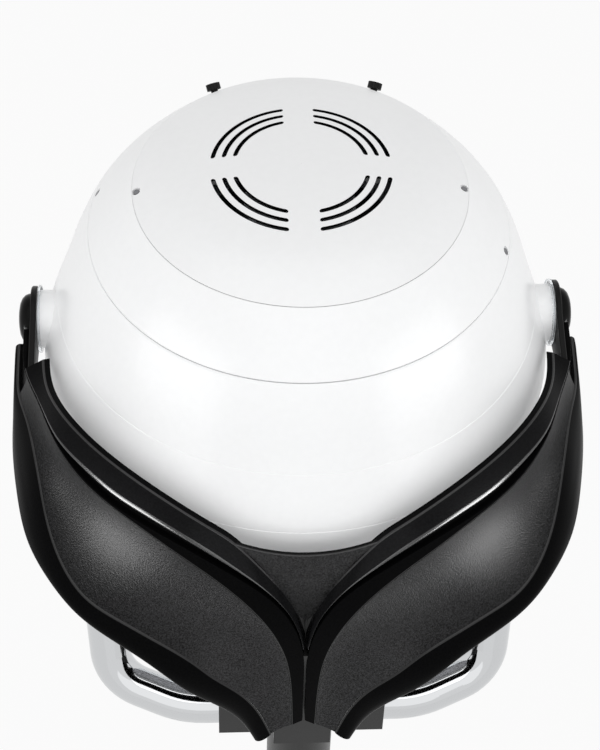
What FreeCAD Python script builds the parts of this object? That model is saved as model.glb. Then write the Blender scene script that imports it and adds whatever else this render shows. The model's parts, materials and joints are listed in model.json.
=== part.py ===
import FreeCAD, Part
import math
import os

from FreeCAD import Vector

# Floor-standing hood hair dryer, millimetres, +Z up, face opening towards -Y.
# The origin is the floor point under the column axis. The head is drawn round
# its tilt axis first and moved to its place at the end.

# Overall placing
COLUMN_TO_HOOD = 230.0
PIVOT_HEIGHT = 1300.0

# Hood outline, radius and height above the tilt axis at each ring
CAP_TOP_Z = 174.5
VENT_RING_R = 70.8
VENT_RING_Z = 169.6
CAP_SHOULDER_R = 110.0
CAP_SHOULDER_Z = 160.6
CAP_EDGE_R = 134.0
CAP_EDGE_Z = 150.8
CAP_EDGE_RUN = (0.85, 0.0, -0.5)
PARTING_R = 171.0
PARTING_Z = 107.1
MOULD_LINE_R = 199.8
MOULD_LINE_Z = 33.5
RIM_LINE_R = 214.5
RIM_LINE_Z = -20.4
SHELL_WALL = 4.0

# Skirt below the rim line, how far inwards of it and at what height
SKIRT_RINGS = ((1.3, -45.0), (6.2, -70.0), (15.9, -97.0), (23.5, -112.0))

# Sloping rim and its trim
FRONT_RIM_Z = -34.0
BACK_RIM_Z = -95.0
RIM_TRIM_HEIGHT = 5.0
RIM_TRIM_PROUD = 0.8

# Air vents in the cap
VENT_PITCH = 8.7
VENT_RING_COUNT = 3
VENT_WIDTH = 3.0
VENT_BRIDGE = 24.0

# Shell screws, sunk in recesses
CAP_SCREW_ANGLES = (3.0, 177.0)
CAP_SCREW_INSET = 3.4
CAP_SCREW_RISE = 1.6
CAP_SCREW_LEAN = 24.0
SHELL_SCREW_ANGLES = (167.4, 270.0, 347.4)
SHELL_SCREW_INSET = 2.4
SHELL_SCREW_LEAN = 52.0
SCREW_HEAD_R = 2.6
SCREW_HEAD_HEIGHT = 1.4
SCREW_RECESS_R = 3.0
SCREW_RECESS_DEPTH = 2.0

# Inner liner with its air holes, radius and height of its dome, then how far
# inwards of the rim line its side runs
LINER_DOME = ((0.0, 42.0), (60.0, 39.0), (112.0, 24.0))
LINER_SIDE = ((64.5, -4.0), (42.5, -38.0), (33.5, -72.0), (30.5, -112.0))
LINER_WALL = 2.0
LINER_HOLE_R = 7.0
LINER_HOLE_COUNT = 12
LINER_HOLE_ROWS = ((1, 10.0), (2, 30.0), (3, 48.0))

# Side pivots, from the hood outwards
VISOR_EAR_GAP = 1.0
VISOR_EAR_THICKNESS = 2.0
VISOR_EAR_END_GAP = 0.4
WASHER_THICKNESS = 0.5
WASHER_R = 21.0
BOSS_R = 24.5
BOSS_ROOT_X = 185.0
STRAP_THICKNESS = 5.0
STRAP_END_R = 28.0
STRAP_HALF_WIDTH = 19.0
STRAP_REACH = 95.0
STRAP_UPPER_NOTCH = (40.0, 12.0)
STRAP_LOWER_NOTCH = (70.0, -14.0)
PIVOT_PIN_R = 8.0
PIN_ROOT_X = 199.0
PIN_NUT_R = 14.0
PIN_NUT_THICKNESS = 2.7
PIN_NUT_GAP = 0.3
CAP_R = 21.5
CAP_DEPTH = 11.0
CAP_SKIRT = 2.5
CAP_HOLLOW_R = 16.5
CAP_HOLLOW_DEPTH = 5.0
RUNNING_CLEARANCE = 0.05

# Visor, a slice of a ball round the tilt axis, angles below the front
VISOR_GAP = 1.1
VISOR_THICKNESS = 2.5
VISOR_TOP_ANGLE = 4.0
VISOR_BOTTOM_ANGLE = 52.0
VISOR_EAR_R = 28.8
VISOR_EAR_OVERLAP = 1.5
VISOR_SCALLOP_R = 55.0
VISOR_SCALLOP_PLACE = (215.0, -85.0, 15.0)

# Control knobs on the front of the upper shell
KNOB_ANGLE = 28.0
KNOB_RING_R = 143.3
KNOB_AXIS = (0.26, -0.70, 0.665)
KNOB_R = 6.0
KNOB_HEIGHT = 6.4
KNOB_GAP = 1.0
KNOB_FLUTE_R = 0.8
KNOB_FLUTE_COUNT = 12
KNOB_SHAFT_R = 3.0
KNOB_SHAFT_DEPTH = 18.0
KNOB_SHAFT_GRIP = 1.0
SWITCH_UNIT_R = 14.0
SWITCH_UNIT_DEPTH = 24.0

# Control panel, rocker switch and pilot lamp on the front
PANEL_HALF_WIDTH = 62.0
PANEL_BOTTOM_Z = 66.0
PANEL_TOP_Z = 99.0
PANEL_PROUD = 1.2
CONTROL_X = 29.0
CONTROL_Z = 82.5
HOUSING_HALF_WIDTH = 12.0
HOUSING_HALF_HEIGHT = 9.5
HOUSING_PROUD = 2.2
HOUSING_FLANGE = 1.0
HOUSING_WALL = 3.0
HOUSING_DEPTH = 16.0
ROCKER_HALF_WIDTH = 8.4
ROCKER_HALF_HEIGHT = 4.9
ROCKER_PROUD = 7.5
ROCKER_BARREL_R = 4.6
ROCKER_BACK = 0.5
ROCKER_PIN_R = 1.6
ROCKER_PIN_DEPTH = 2.56
ROCKER_PIN_COVER = 1.4
ROCKER_PIN_PLAY = 0.1
ROCKER_TILT = 8.0
LAMP_R = 5.0
LAMP_LENGTH = 13.6
LAMP_AXIS = (-0.14, -0.90, 0.40)

# Fan and motor
FAN_TOP_Z = 92.0
FAN_R = 82.0
FAN_HEIGHT = 24.0
FAN_DISC = 2.0
FAN_HUB_R = 13.0
FAN_BLADES = 20
BLADE_INSET = 1.0
BLADE_LENGTH = 29.0
BLADE_THICKNESS = 1.6
BLADE_LEAN = 35.0
FAN_SHAFT_R = 4.0
MOTOR_GAP = 4.0
MOTOR_R = 42.0
MOTOR_HEIGHT = 44.0
MOTOR_NOSE_R = 16.0
MOTOR_NOSE_HEIGHT = 6.0
SHAFT_END_GAP = 1.0

# Motor bracket
CLAMP_RING_WALL = 3.0
CLAMP_RING_HEIGHT = 16.0
CLAMP_RING_LIFT = 14.0
BRACKET_ARM_REACH = 104.0
BRACKET_ARM_HALF_WIDTH = 7.0
BRACKET_ARM_THICKNESS = 4.0
BRACKET_ARM_LIFT = 6.0
BRACKET_POST_DEPTH = 12.0
BRACKET_ARM_ROOT = 1.0
BRACKET_ARM_COUNT = 3
BRACKET_TURN = 30.0

# Air baffle
BAFFLE_Z = 62.0
BAFFLE_THICKNESS = 3.0
BAFFLE_MOUTH_R = 58.0
BAFFLE_HOLE_R = 9.0
BAFFLE_HOLE_RING_R = 124.0
BAFFLE_HOLE_COUNT = 16
BAFFLE_HOLE_TURN = 11.0

# Heater
HEATER_Z = 54.0
HEATER_RING_R = 74.0
HEATER_COIL_R = 7.0
MICA_REACH = 96.0
MICA_THICKNESS = 2.0
MICA_BELOW = 8.0
MICA_HUB_R = 24.0
MICA_HUB_WALL = 4.0
MICA_HUB_HEIGHT = 10.0
CUTOUT_X = (98.0, 118.0)
CUTOUT_HALF_WIDTH = 9.0
CUTOUT_HEIGHT = 9.0

# Fork stations from the side pivot to the seam at the back. Ridge and edge are
# points, groove, lip and rim are widths, dish is how deep the leaf is hollowed
# and seat is the depth of its recess.
WING_STATIONS = (
    dict(ridge=(228.5, 29.5, 13), edge=(236, 29.5, -15), groove=1.0, lip=1.0, rim=9, dish=0.0, seat=0.5),
    dict(ridge=(226, 62, 6), edge=(237, 60, -29), groove=1.0, lip=1.0, rim=12, dish=0.5, seat=0.5),
    dict(ridge=(213, 98, 7), edge=(239, 96, -48), groove=1.0, lip=1.0, rim=35, dish=1.5, seat=2.0),
    dict(ridge=(198, 138, 9), edge=(235, 133, -69), groove=1.5, lip=1.0, rim=47, dish=4.0, seat=3.0),
    dict(ridge=(176, 168, 6), edge=(226, 168, -86), groove=6.0, lip=2.0, rim=39, dish=7.0, seat=3.0),
    dict(ridge=(151, 192, 1), edge=(208, 200, -97), groove=7.0, lip=2.0, rim=26, dish=8.0, seat=3.0),
    dict(ridge=(123, 210, -6), edge=(186, 225, -108), groove=7.0, lip=4.0, rim=21, dish=8.0, seat=3.0),
    dict(ridge=(94, 224, -17), edge=(161, 242, -118), groove=6.0, lip=8.0, rim=23, dish=8.0, seat=3.0),
    dict(ridge=(62, 235, -35), edge=(135, 254, -131), groove=5.0, lip=12.0, rim=25, dish=7.0, seat=3.0),
    dict(ridge=(33, 245, -54), edge=(111, 265, -146), groove=4.0, lip=17.0, rim=28, dish=6.0, seat=3.0),
    dict(ridge=(12.5, 255, -76), edge=(92, 268, -165), groove=3.0, lip=20.0, rim=28, dish=5.0, seat=3.0),
    dict(ridge=(2.0, 262, -112), edge=(71, 268, -184), groove=1.0, lip=18.5, rim=26, dish=3.5, seat=3.0),
    dict(ridge=(0.6, 268, -155), edge=(53, 268, -207), groove=0.5, lip=14.0, rim=22, dish=2.0, seat=2.5),
    dict(ridge=(0.6, 272, -200), edge=(41, 272, -231), groove=0.4, lip=11.0, rim=18, dish=1.0, seat=1.5),
)
# Radius and height of the skirt point that the stations and arms were laid out round
FORK_CLEARS = (191.0, 112.0)
LEAF_FIRST_STATION = 2
LEAF_HOLLOW = ((0.0, 0.0), (0.22, 0.72), (0.5, 1.0), (0.78, 0.66), (1.0, 0.0))
LEAF_SINK = 0.6
RIDGE_DEPTH = 9.0
GROOVE_STEP = 2.5
RIM_CROWN = 1.6
RIM_CROWN_SHARE = 0.45
RIM_EDGE_SHARE = 0.25
EDGE_ROUND = 2.5
EDGE_BEVEL = 2.0
EDGE_THICKNESS = 5.5
WING_THICKNESS = 6.0
GROOVE_WALL = 4.0
GROOVE_FLOOR = 0.5
SEAM_HALF_GAP = 0.3
NECK_END_Z = -216.0

# Top edge of the inner arm from the second station on, and its last points
# across and out from the ridge
ARM_TOP = (
    (210.5, 60, 15), (205, 95, 18), (188, 133, 25), (163, 164, 24), (134, 189, 20),
    (105, 207, 15), (78, 219, 6), (57, 226, -17), (34, 235, -45),
)
ARM_ENDS = ((-9.7, -9.8), (-2.2, -4.0))
ARM_DEPTH = 12.5
ARM_THICKNESS = 6.0
LUG_TOP_Z = 4.0
LUG_BOTTOM_Z = -12.0
LUG_INNER_Z = 11.0
LUG_LEAN = 0.5

# Centre plate between the arms, lower edge points from the middle outwards
PLATE_HALF_WIDTH = 57.0
PLATE_TOP = (226.0, -17.0)
PLATE_TOP_BULGE = 4.5
PLATE_TOP_DIP = 11.0
PLATE_LOW = ((0.0, 246.0, -83.0), (15.0, 242.0, -66.0), (36.0, 234.0, -43.0), (56.0, 226.2, -18.5))
PLATE_THICKNESS = 4.0
PLATE_BACK_RISE = (0.5, 1.5)

# Tube yoke under the wings, its corners on one side and their bend radii
YOKE_TUBE_R = 17.0
YOKE_TUBE_WALL = 2.0
YOKE_CORNERS = ((170.0, 150.0, -104.0), (160.0, 208.0, -226.0), (100.0, 228.0, -240.0))
YOKE_BENDS = (38.0, 90.0)

# Stem that joins the fork to the column
STEM_R = 28.0
STEM_BOTTOM_Z = -330.0
STEM_TOP_Z = -200.0
STEM_BORE_TOP_Z = -266.0
STEM_WEBS = (
    (24.0, 232.0, 262.0, -252.0, -120.0),
    (13.0, 236.0, 251.0, -122.0, -86.0),
    (70.0, 212.0, 248.0, -256.0, -205.0),
)

# Column
INNER_TUBE_R = 17.5
INNER_TUBE_WALL = 2.0
INNER_TUBE_BOTTOM = 420.0
OUTER_TUBE_R = 22.5
OUTER_TUBE_WALL = 2.5
OUTER_TUBE_BOTTOM = 62.0
OUTER_TUBE_TOP = 780.0
SPIGOT_R = 15.0
SPIGOT_END_GAP = 2.0
SPIGOT_ROOT = 1.0
SWIVEL_R = 26.0
SWIVEL_HEIGHT = 16.0
SWIVEL_SOCKET = 2.0
BUSH_LENGTH = 90.0
BUSH_FLANGE = 4.0

# Height collar and its clamp screw
COLLAR_R = 30.0
COLLAR_HEIGHT = 46.0
COLLAR_LIP = 6.0
COLLAR_LIP_GAP = 0.5
CLAMP_BOSS_R = 12.0
CLAMP_BOSS_END = 44.0
CLAMP_SCREW_R = 5.0
CLAMP_TIP_GAP = 0.3
CLAMP_KNOB_R = 20.0
CLAMP_KNOB_GAP = 1.0
CLAMP_KNOB_HEIGHT = 20.0
CLAMP_BITE_R = 6.5
CLAMP_BITE_COUNT = 6

# Gland for the mains cord
GLAND_Z = 152.0
GLAND_BORE_R = 3.75
GLAND_NECK_R = 6.5
GLAND_FLANGE_R = 10.0
GLAND_FLANGE = 2.5
GLAND_LENGTH = 18.0

# Star base
LEG_COUNT = 5
LEG_REACH = 315.0
LEG_END_Z = 66.0
LEG_LIFT = 4.0
LEG_SECTIONS = (
    (30.0, 20.0, 17.0, 78.0), (180.0, 17.0, 12.0, 75.0), (LEG_REACH, 14.0, 9.0, LEG_END_Z + LEG_LIFT),
)
HUB_OUTLINE = ((0, 56), (46, 56), (50, 62), (50, 84), (40, 96), (28, 108), (28, 120), (0, 120))
SOCKET_R = 14.0
SOCKET_BELOW = 6.0
SOCKET_ABOVE = 16.0
COVER_R = 34.0
COVER_TOP = 6.0
COVER_SKIRT = 10.0

# Castors, trailing towards the middle of the base at rest
WHEEL_R = 25.0
WHEEL_WIDTH = 15.0
WHEEL_GAP = 15.0
WHEEL_SIDE_GAP = 0.4
WHEEL_RECESS = 2.5
WHEEL_RIM = 6.0
AXLE_R = 3.0
CASTOR_TRAIL = 19.0
CASTOR_STEM_R = 5.5
CASTOR_STEM_TOP = 10.0
CASTOR_STEM_GAP = 2.0
CASTOR_HEAD_R = 12.0
CASTOR_HEAD_HEIGHT = 8.5
CASTOR_HEAD_GAP = 1.0
GUARD_GAP = 1.5
GUARD_WALL = 3.0
GUARD_HALF_WIDTH = 21.0
GUARD_FRONT = 14.0
GUARD_BACK = 40.0
GUARD_BOTTOM = 12.0
CASTOR_WEB_REACH = 8.0
CASTOR_RIB_SINK = 1.0
AXLE_GRIP = 1.0

AXIS_X = Vector(1, 0, 0)
AXIS_Y = Vector(0, 1, 0)
AXIS_Z = Vector(0, 0, 1)
ORIGIN = Vector(0, 0, 0)
FAR = 400.0
HALVINGS = 40


def rod(radius, start, end):
    """Round bar from one point to another."""
    start = Vector(*start)
    run = Vector(*end).sub(start)
    return Part.makeCylinder(radius, run.Length, start, run)


def tube(outer, inner, start, end):
    """Round tube from one point to another."""
    return rod(outer, start, end).cut(rod(inner, start, end))


def upright(radius, bottom, top):
    """Round bar on the Z axis."""
    return rod(radius, (0, 0, bottom), (0, 0, top))


def pipe(outer, inner, bottom, top):
    """Round tube on the Z axis."""
    return tube(outer, inner, (0, 0, bottom), (0, 0, top))


def block(x0, x1, y0, y1, z0, z1):
    """Box between two corners."""
    return Part.makeBox(x1 - x0, y1 - y0, z1 - z0, Vector(x0, y0, z0))


def stud(radius, length, start, axis, offset=0.0):
    """Round bar from a point along an axis, begun at an offset along it."""
    return Part.makeCylinder(radius, length, along(start, axis, offset), axis)


def along(start, axis, distance):
    """Point at a distance from start along an axis."""
    return start.add(Vector(axis).multiply(distance))


def turned(points, axis=AXIS_Z):
    """Solid of revolution of a closed outline of (radius, height) points."""
    if axis == AXIS_X:
        corners = [Vector(height, radius, 0) for radius, height in points]
    else:
        corners = [Vector(radius, 0, height) for radius, height in points]
    outline = Part.makePolygon(corners + [corners[0]])
    return Part.Face(outline).revolve(ORIGIN, axis, 360)


def mirrored(shape):
    """The same shape on the other side of the X = 0 plane."""
    return shape.mirror(ORIGIN, AXIS_X)


def repeated(shape, count, first_angle=0.0):
    """Copies of a shape spaced evenly round the Z axis."""
    copies = []
    for index in range(count):
        copy = shape.copy()
        copy.rotate(ORIGIN, AXIS_Z, first_angle + 360.0 / count * index)
        copies.append(copy)
    return copies


def cut_all(shape, tools):
    """A shape with several others cut out of it one after the other."""
    for tool in tools:
        shape = shape.cut(tool)
    return shape


def fuse_all(shape, others):
    """A shape joined with several others one after the other."""
    for other in others:
        shape = shape.fuse(other)
    return shape


def side_profile(inset):
    """Outline points of the hood side, moved inwards by inset."""
    rings = [
        (CAP_EDGE_R, CAP_EDGE_Z), (PARTING_R, PARTING_Z),
        (MOULD_LINE_R, MOULD_LINE_Z), (RIM_LINE_R, RIM_LINE_Z),
    ]
    skirt = [(RIM_LINE_R - inwards, height) for inwards, height in SKIRT_RINGS]
    return offset_points(rings + skirt, inset)


def offset_points(rings, inset):
    """Move a run of (radius, height) points inwards, square to the run."""
    moved = []
    for index, (radius, height) in enumerate(rings):
        before = rings[max(index - 1, 0)]
        after = rings[min(index + 1, len(rings) - 1)]
        run_r = after[0] - before[0]
        run_z = after[1] - before[1]
        length = math.hypot(run_r, run_z)
        moved.append((radius + inset * run_z / length, height - inset * run_r / length))
    return moved


def cap_profile(inset):
    """Outline points of the top cap, moved inwards by inset."""
    return [
        (0.0, CAP_TOP_Z - inset), (VENT_RING_R, VENT_RING_Z - inset),
        (CAP_SHOULDER_R, CAP_SHOULDER_Z - inset), side_profile(inset)[0],
    ]


def flat_points(points):
    """Points of the XZ plane from (radius, height) pairs."""
    return [Vector(radius, 0, height) for radius, height in points]


def cap_edge(inset):
    """Smooth edge of the top cap, level in the middle."""
    curve = Part.BSplineCurve()
    points = cap_profile(inset)
    curve.interpolate(
        Points=flat_points(points), InitialTangent=AXIS_X, FinalTangent=Vector(*CAP_EDGE_RUN))
    return curve.toShape()


def side_curve(inset):
    """Smooth curve down the hood side."""
    curve = Part.BSplineCurve()
    curve.interpolate(flat_points(side_profile(inset)))
    return curve


def side_edge(inset, first, last):
    """Piece of the hood side curve between two of its points."""
    points = flat_points(side_profile(inset))
    curve = side_curve(inset)
    return curve.toShape(curve.parameter(points[first]), curve.parameter(points[last]))


def side_point(coordinate, wanted):
    """Radius and height where the hood side has a wanted radius (0) or height (1)."""
    curve = side_curve(0.0)
    low, high = curve.FirstParameter, curve.parameter(Vector(RIM_LINE_R, 0, RIM_LINE_Z))
    rising = coordinate == 0
    for _ in range(HALVINGS):
        middle = (low + high) / 2.0
        place = curve.value(middle)
        value = place.x if rising else -place.z
        if value < (wanted if rising else -wanted):
            low = middle
        else:
            high = middle
    place = curve.value((low + high) / 2.0)
    return place.x, place.z


def line(first, second):
    """Straight edge between (radius, height) points in the XZ plane."""
    return Part.makeLine(*flat_points((first, second)))


def ends(edge):
    """The (radius, height) end points of an edge."""
    first = edge.valueAt(edge.FirstParameter)
    last = edge.valueAt(edge.LastParameter)
    return (first.x, first.z), (last.x, last.z)


def spun(edges):
    """Solid of revolution about Z of a closed run of edges."""
    outline = Part.Wire(Part.__sortEdges__(edges))
    return Part.Face(outline).revolve(ORIGIN, AXIS_Z, 360)


def wall(outer, inner):
    """Ring-shaped wall between two edges that run the same way."""
    outer_start, outer_end = ends(outer)
    inner_start, inner_end = ends(inner)
    return spun([outer, line(outer_end, inner_end), inner, line(inner_start, outer_start)])


def filled(*edges):
    """Everything between a run of edges and the Z axis."""
    top = ends(edges[0])[0]
    bottom = ends(edges[-1])[1]
    foot = (0.0, bottom[1])
    return spun(list(edges) + [line(bottom, foot), line(foot, top)])


def hood_volume(inset):
    """Everything inside the hood side and cap, moved inwards by inset."""
    return filled(cap_edge(inset), side_edge(inset, 0, len(side_profile(inset)) - 1))


def sweep_radius():
    """Radius of the ball that the tilting hood stays inside, below the axis."""
    return max(math.hypot(radius, height) for radius, height in side_profile(0.0) if height < 0)


def rim_slab(drop_top, drop_bottom):
    """Slab along the sloping rim, between two distances below the shell edge."""
    slope = (BACK_RIM_Z - FRONT_RIM_Z) / (2.0 * RIM_LINE_R)
    middle = (BACK_RIM_Z + FRONT_RIM_Z) / 2.0
    front = middle - slope * FAR
    back = middle + slope * FAR
    corners = [
        Vector(-FAR, -FAR, front - drop_top), Vector(-FAR, FAR, back - drop_top),
        Vector(-FAR, FAR, back - drop_bottom), Vector(-FAR, -FAR, front - drop_bottom),
    ]
    outline = Part.makePolygon(corners + [corners[0]])
    return Part.Face(outline).extrude(Vector(2 * FAR, 0, 0))


def outward_at(radius, height, angle, lean):
    """Point on a level ring and the direction that leans out from +Z there."""
    turn = math.radians(angle)
    tilt = math.radians(lean)
    outward = Vector(math.sin(tilt) * math.cos(turn), math.sin(tilt) * math.sin(turn), math.cos(tilt))
    return Vector(radius * math.cos(turn), radius * math.sin(turn), height), outward


def vent_slots():
    """Cutters of the vent slots, rings broken by four bridges."""
    bottom = CAP_SHOULDER_Z - SHELL_WALL
    top = CAP_TOP_Z + SHELL_WALL
    bridge = VENT_BRIDGE / 2
    cutters = []
    for ring in range(VENT_RING_COUNT):
        radius = VENT_RING_R - VENT_PITCH * ring
        slot = pipe(radius + VENT_WIDTH / 2, radius - VENT_WIDTH / 2, bottom, top)
        slot = slot.cut(block(-bridge, bridge, -FAR, FAR, bottom, top))
        cutters.append(slot.cut(block(-FAR, FAR, -bridge, bridge, bottom, top)))
    return cutters


def screw_places():
    """Place and direction of each shell screw, cap screws first."""
    cap = [
        outward_at(CAP_EDGE_R - CAP_SCREW_INSET, CAP_EDGE_Z + CAP_SCREW_RISE, angle, CAP_SCREW_LEAN)
        for angle in CAP_SCREW_ANGLES]
    radius, height = side_point(0, PARTING_R - SHELL_SCREW_INSET)
    shell = [outward_at(radius, height, angle, SHELL_SCREW_LEAN) for angle in SHELL_SCREW_ANGLES]
    return cap, shell


def screw_recess(place, outward):
    """Cutter for the recess of a shell screw."""
    return stud(SCREW_RECESS_R, 4 * SCREW_RECESS_DEPTH, place, outward, -SCREW_RECESS_DEPTH)


def screw_head(place, outward):
    """Head of a shell screw at the bottom of its recess."""
    return stud(SCREW_HEAD_R, SCREW_HEAD_HEIGHT, place, outward, -SCREW_RECESS_DEPTH)


def make_liner():
    """Perforated liner, with the volumes inside its inner and outer faces."""
    side = [(RIM_LINE_R - inwards, height) for inwards, height in LINER_SIDE]
    outer_rings = list(LINER_DOME) + side
    outer_curve = Part.BSplineCurve()
    outer_curve.interpolate(
        Points=flat_points(outer_rings), InitialTangent=AXIS_X, FinalTangent=Vector(0, 0, -1))
    inner_rings = []
    for radius, height in outer_rings:
        drop = LINER_WALL if (radius, height) not in side[1:] else 0.0
        inner_rings.append((max(radius - LINER_WALL, 0.0), height - drop))
    inner_curve = Part.BSplineCurve()
    inner_curve.interpolate(
        Points=flat_points(inner_rings), InitialTangent=AXIS_X, FinalTangent=Vector(0, 0, -1))
    outer, inner = outer_curve.toShape(), inner_curve.toShape()
    liner = wall(outer, inner).common(rim_slab(-FAR, 0.0))
    for ring, lean in LINER_HOLE_ROWS:
        radius, height = outer_rings[ring]
        for index in range(LINER_HOLE_COUNT):
            place, outward = outward_at(radius, height, 360.0 / LINER_HOLE_COUNT * index, lean)
            liner = liner.cut(stud(LINER_HOLE_R, 4 * LINER_HOLE_R, place, outward, -2 * LINER_HOLE_R))
    return liner, filled(inner), filled(outer)


def make_knob():
    """Fluted control knob on its shaft, the bore it needs and the unit behind it."""
    axis = Vector(*KNOB_AXIS).normalize()
    turn = math.radians(KNOB_ANGLE)
    height = side_point(0, KNOB_RING_R)[1]
    base = Vector(KNOB_RING_R * math.sin(turn), -KNOB_RING_R * math.cos(turn), height)
    head_height = KNOB_HEIGHT - KNOB_GAP
    knob = stud(KNOB_R, head_height, base, axis, KNOB_GAP)
    across = axis.cross(AXIS_X).normalize()
    for index in range(KNOB_FLUTE_COUNT):
        spin = FreeCAD.Rotation(axis, 360.0 / KNOB_FLUTE_COUNT * index)
        place = base.add(spin.multVec(across).multiply(KNOB_R + KNOB_FLUTE_R / 2))
        knob = knob.cut(stud(KNOB_FLUTE_R, head_height, place, axis, KNOB_GAP))
    shaft_length = KNOB_SHAFT_DEPTH + KNOB_GAP + KNOB_SHAFT_GRIP
    knob = knob.fuse(stud(KNOB_SHAFT_R, shaft_length, base, axis, -KNOB_SHAFT_DEPTH))
    bore = stud(KNOB_SHAFT_R + RUNNING_CLEARANCE, 2 * KNOB_SHAFT_DEPTH, base, axis, -KNOB_SHAFT_DEPTH)
    unit = stud(SWITCH_UNIT_R, SWITCH_UNIT_DEPTH, base, axis, -SWITCH_UNIT_DEPTH)
    unit = unit.common(hood_volume(SHELL_WALL)).cut(bore)
    return knob, bore, unit


def front_zone(centre_x, half_width, half_height):
    """Block that reaches from inside the shell out through its front."""
    return block(
        centre_x - half_width, centre_x + half_width, -FAR, -RIM_LINE_R / 2,
        CONTROL_Z - half_height, CONTROL_Z + half_height)


def make_controls(outer_hood):
    """Control panel, switch housing, rocker, pilot lamp and the openings in the shell."""
    surface_r = side_point(1, CONTROL_Z)[0]
    panel_zone = block(
        -PANEL_HALF_WIDTH, PANEL_HALF_WIDTH, -FAR, -RIM_LINE_R / 4, PANEL_BOTTOM_Z, PANEL_TOP_Z)
    panel = hood_volume(-PANEL_PROUD).common(panel_zone).cut(outer_hood)

    flange, pocket, mouth = [
        front_zone(CONTROL_X, HOUSING_HALF_WIDTH - inset, HOUSING_HALF_HEIGHT - inset)
        for inset in (0.0, HOUSING_FLANGE, HOUSING_WALL)]
    well_floor = surface_r - HOUSING_DEPTH / 2
    mouth = mouth.cut(block(-FAR, FAR, -well_floor, FAR, -FAR, FAR))
    housing = hood_volume(-HOUSING_PROUD).common(flange).cut(outer_hood)
    housing = housing.fuse(outer_hood.common(pocket).cut(hood_volume(HOUSING_DEPTH))).cut(mouth)

    pin_y = -(surface_r - ROCKER_PIN_DEPTH)
    pin_reach = HOUSING_HALF_WIDTH - ROCKER_PIN_COVER
    pin_place = Vector(CONTROL_X, pin_y, CONTROL_Z)
    pin_start = pin_place.sub(Vector(pin_reach, 0, 0))
    barrel_start = pin_place.sub(Vector(ROCKER_HALF_WIDTH, 0, 0))
    rocker = block(
        CONTROL_X - ROCKER_HALF_WIDTH, CONTROL_X + ROCKER_HALF_WIDTH,
        pin_y - ROCKER_PROUD - ROCKER_PIN_DEPTH, pin_y + ROCKER_BACK,
        CONTROL_Z - ROCKER_HALF_HEIGHT, CONTROL_Z + ROCKER_HALF_HEIGHT)
    rocker = rocker.fuse(stud(ROCKER_BARREL_R, 2 * ROCKER_HALF_WIDTH, barrel_start, AXIS_X))
    rocker = rocker.fuse(stud(ROCKER_PIN_R, 2 * pin_reach, pin_start, AXIS_X))
    rocker.rotate(pin_place, AXIS_X, -ROCKER_TILT)
    bore_length = 2 * (pin_reach + ROCKER_PIN_PLAY)
    bore_r = ROCKER_PIN_R + RUNNING_CLEARANCE
    housing = housing.cut(stud(bore_r, bore_length, pin_start, AXIS_X, -ROCKER_PIN_PLAY))

    lamp_axis = Vector(*LAMP_AXIS).normalize()
    lamp_place = Vector(-CONTROL_X, -(surface_r - LAMP_R), CONTROL_Z)
    lamp = stud(LAMP_R, LAMP_LENGTH, lamp_place, lamp_axis)
    lamp_bore = stud(LAMP_R, 2 * LAMP_LENGTH, lamp_place, lamp_axis)
    panel = panel.cut(flange).cut(lamp_bore)
    return panel, housing, rocker, lamp, (pocket, lamp_bore)


def make_fan():
    """Motor, its shaft and the fan wheel."""
    motor_bottom = FAN_TOP_Z + MOTOR_GAP + MOTOR_NOSE_HEIGHT
    motor_top = motor_bottom + MOTOR_HEIGHT
    fan_bottom = FAN_TOP_Z - FAN_HEIGHT
    motor = upright(MOTOR_R, motor_bottom, motor_top)
    motor = motor.fuse(upright(MOTOR_NOSE_R, FAN_TOP_Z + MOTOR_GAP, motor_bottom))
    shaft_end = motor_top - 2 * MOTOR_GAP
    motor = motor.cut(upright(FAN_SHAFT_R + RUNNING_CLEARANCE, FAN_TOP_Z, shaft_end + SHAFT_END_GAP))
    shaft = upright(FAN_SHAFT_R, fan_bottom - MOTOR_GAP, shaft_end)
    wheel = upright(FAN_R, FAN_TOP_Z - FAN_DISC, FAN_TOP_Z).fuse(upright(FAN_HUB_R, fan_bottom, FAN_TOP_Z))
    half_blade = BLADE_THICKNESS / 2
    blade_end = FAN_R - BLADE_INSET
    blade = block(
        blade_end - BLADE_LENGTH, blade_end, -half_blade, half_blade, fan_bottom, FAN_TOP_Z - FAN_DISC / 2)
    blade.rotate(Vector(blade_end - BLADE_LENGTH / 2, 0, 0), AXIS_Z, BLADE_LEAN)
    wheel = fuse_all(wheel, repeated(blade, FAN_BLADES))
    wheel = wheel.cut(upright(FAN_SHAFT_R, 0, motor_top))
    return motor, shaft, wheel


def make_bracket(cavity):
    """Clamp ring round the motor on three arms that hang from the shell."""
    ring_bottom = FAN_TOP_Z + MOTOR_GAP + MOTOR_NOSE_HEIGHT + CLAMP_RING_LIFT
    arm_bottom = ring_bottom + BRACKET_ARM_LIFT
    arm_top = arm_bottom + BRACKET_ARM_THICKNESS
    half_width = BRACKET_ARM_HALF_WIDTH
    bracket = pipe(MOTOR_R + CLAMP_RING_WALL, MOTOR_R, ring_bottom, ring_bottom + CLAMP_RING_HEIGHT)
    arm = block(
        MOTOR_R + BRACKET_ARM_ROOT, BRACKET_ARM_REACH, -half_width, half_width, arm_bottom, arm_top)
    post_start = BRACKET_ARM_REACH - BRACKET_POST_DEPTH
    arm = arm.fuse(block(post_start, BRACKET_ARM_REACH, -half_width, half_width, arm_bottom, CAP_TOP_Z))
    return fuse_all(bracket, repeated(arm, BRACKET_ARM_COUNT, BRACKET_TURN)).common(cavity)


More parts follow.
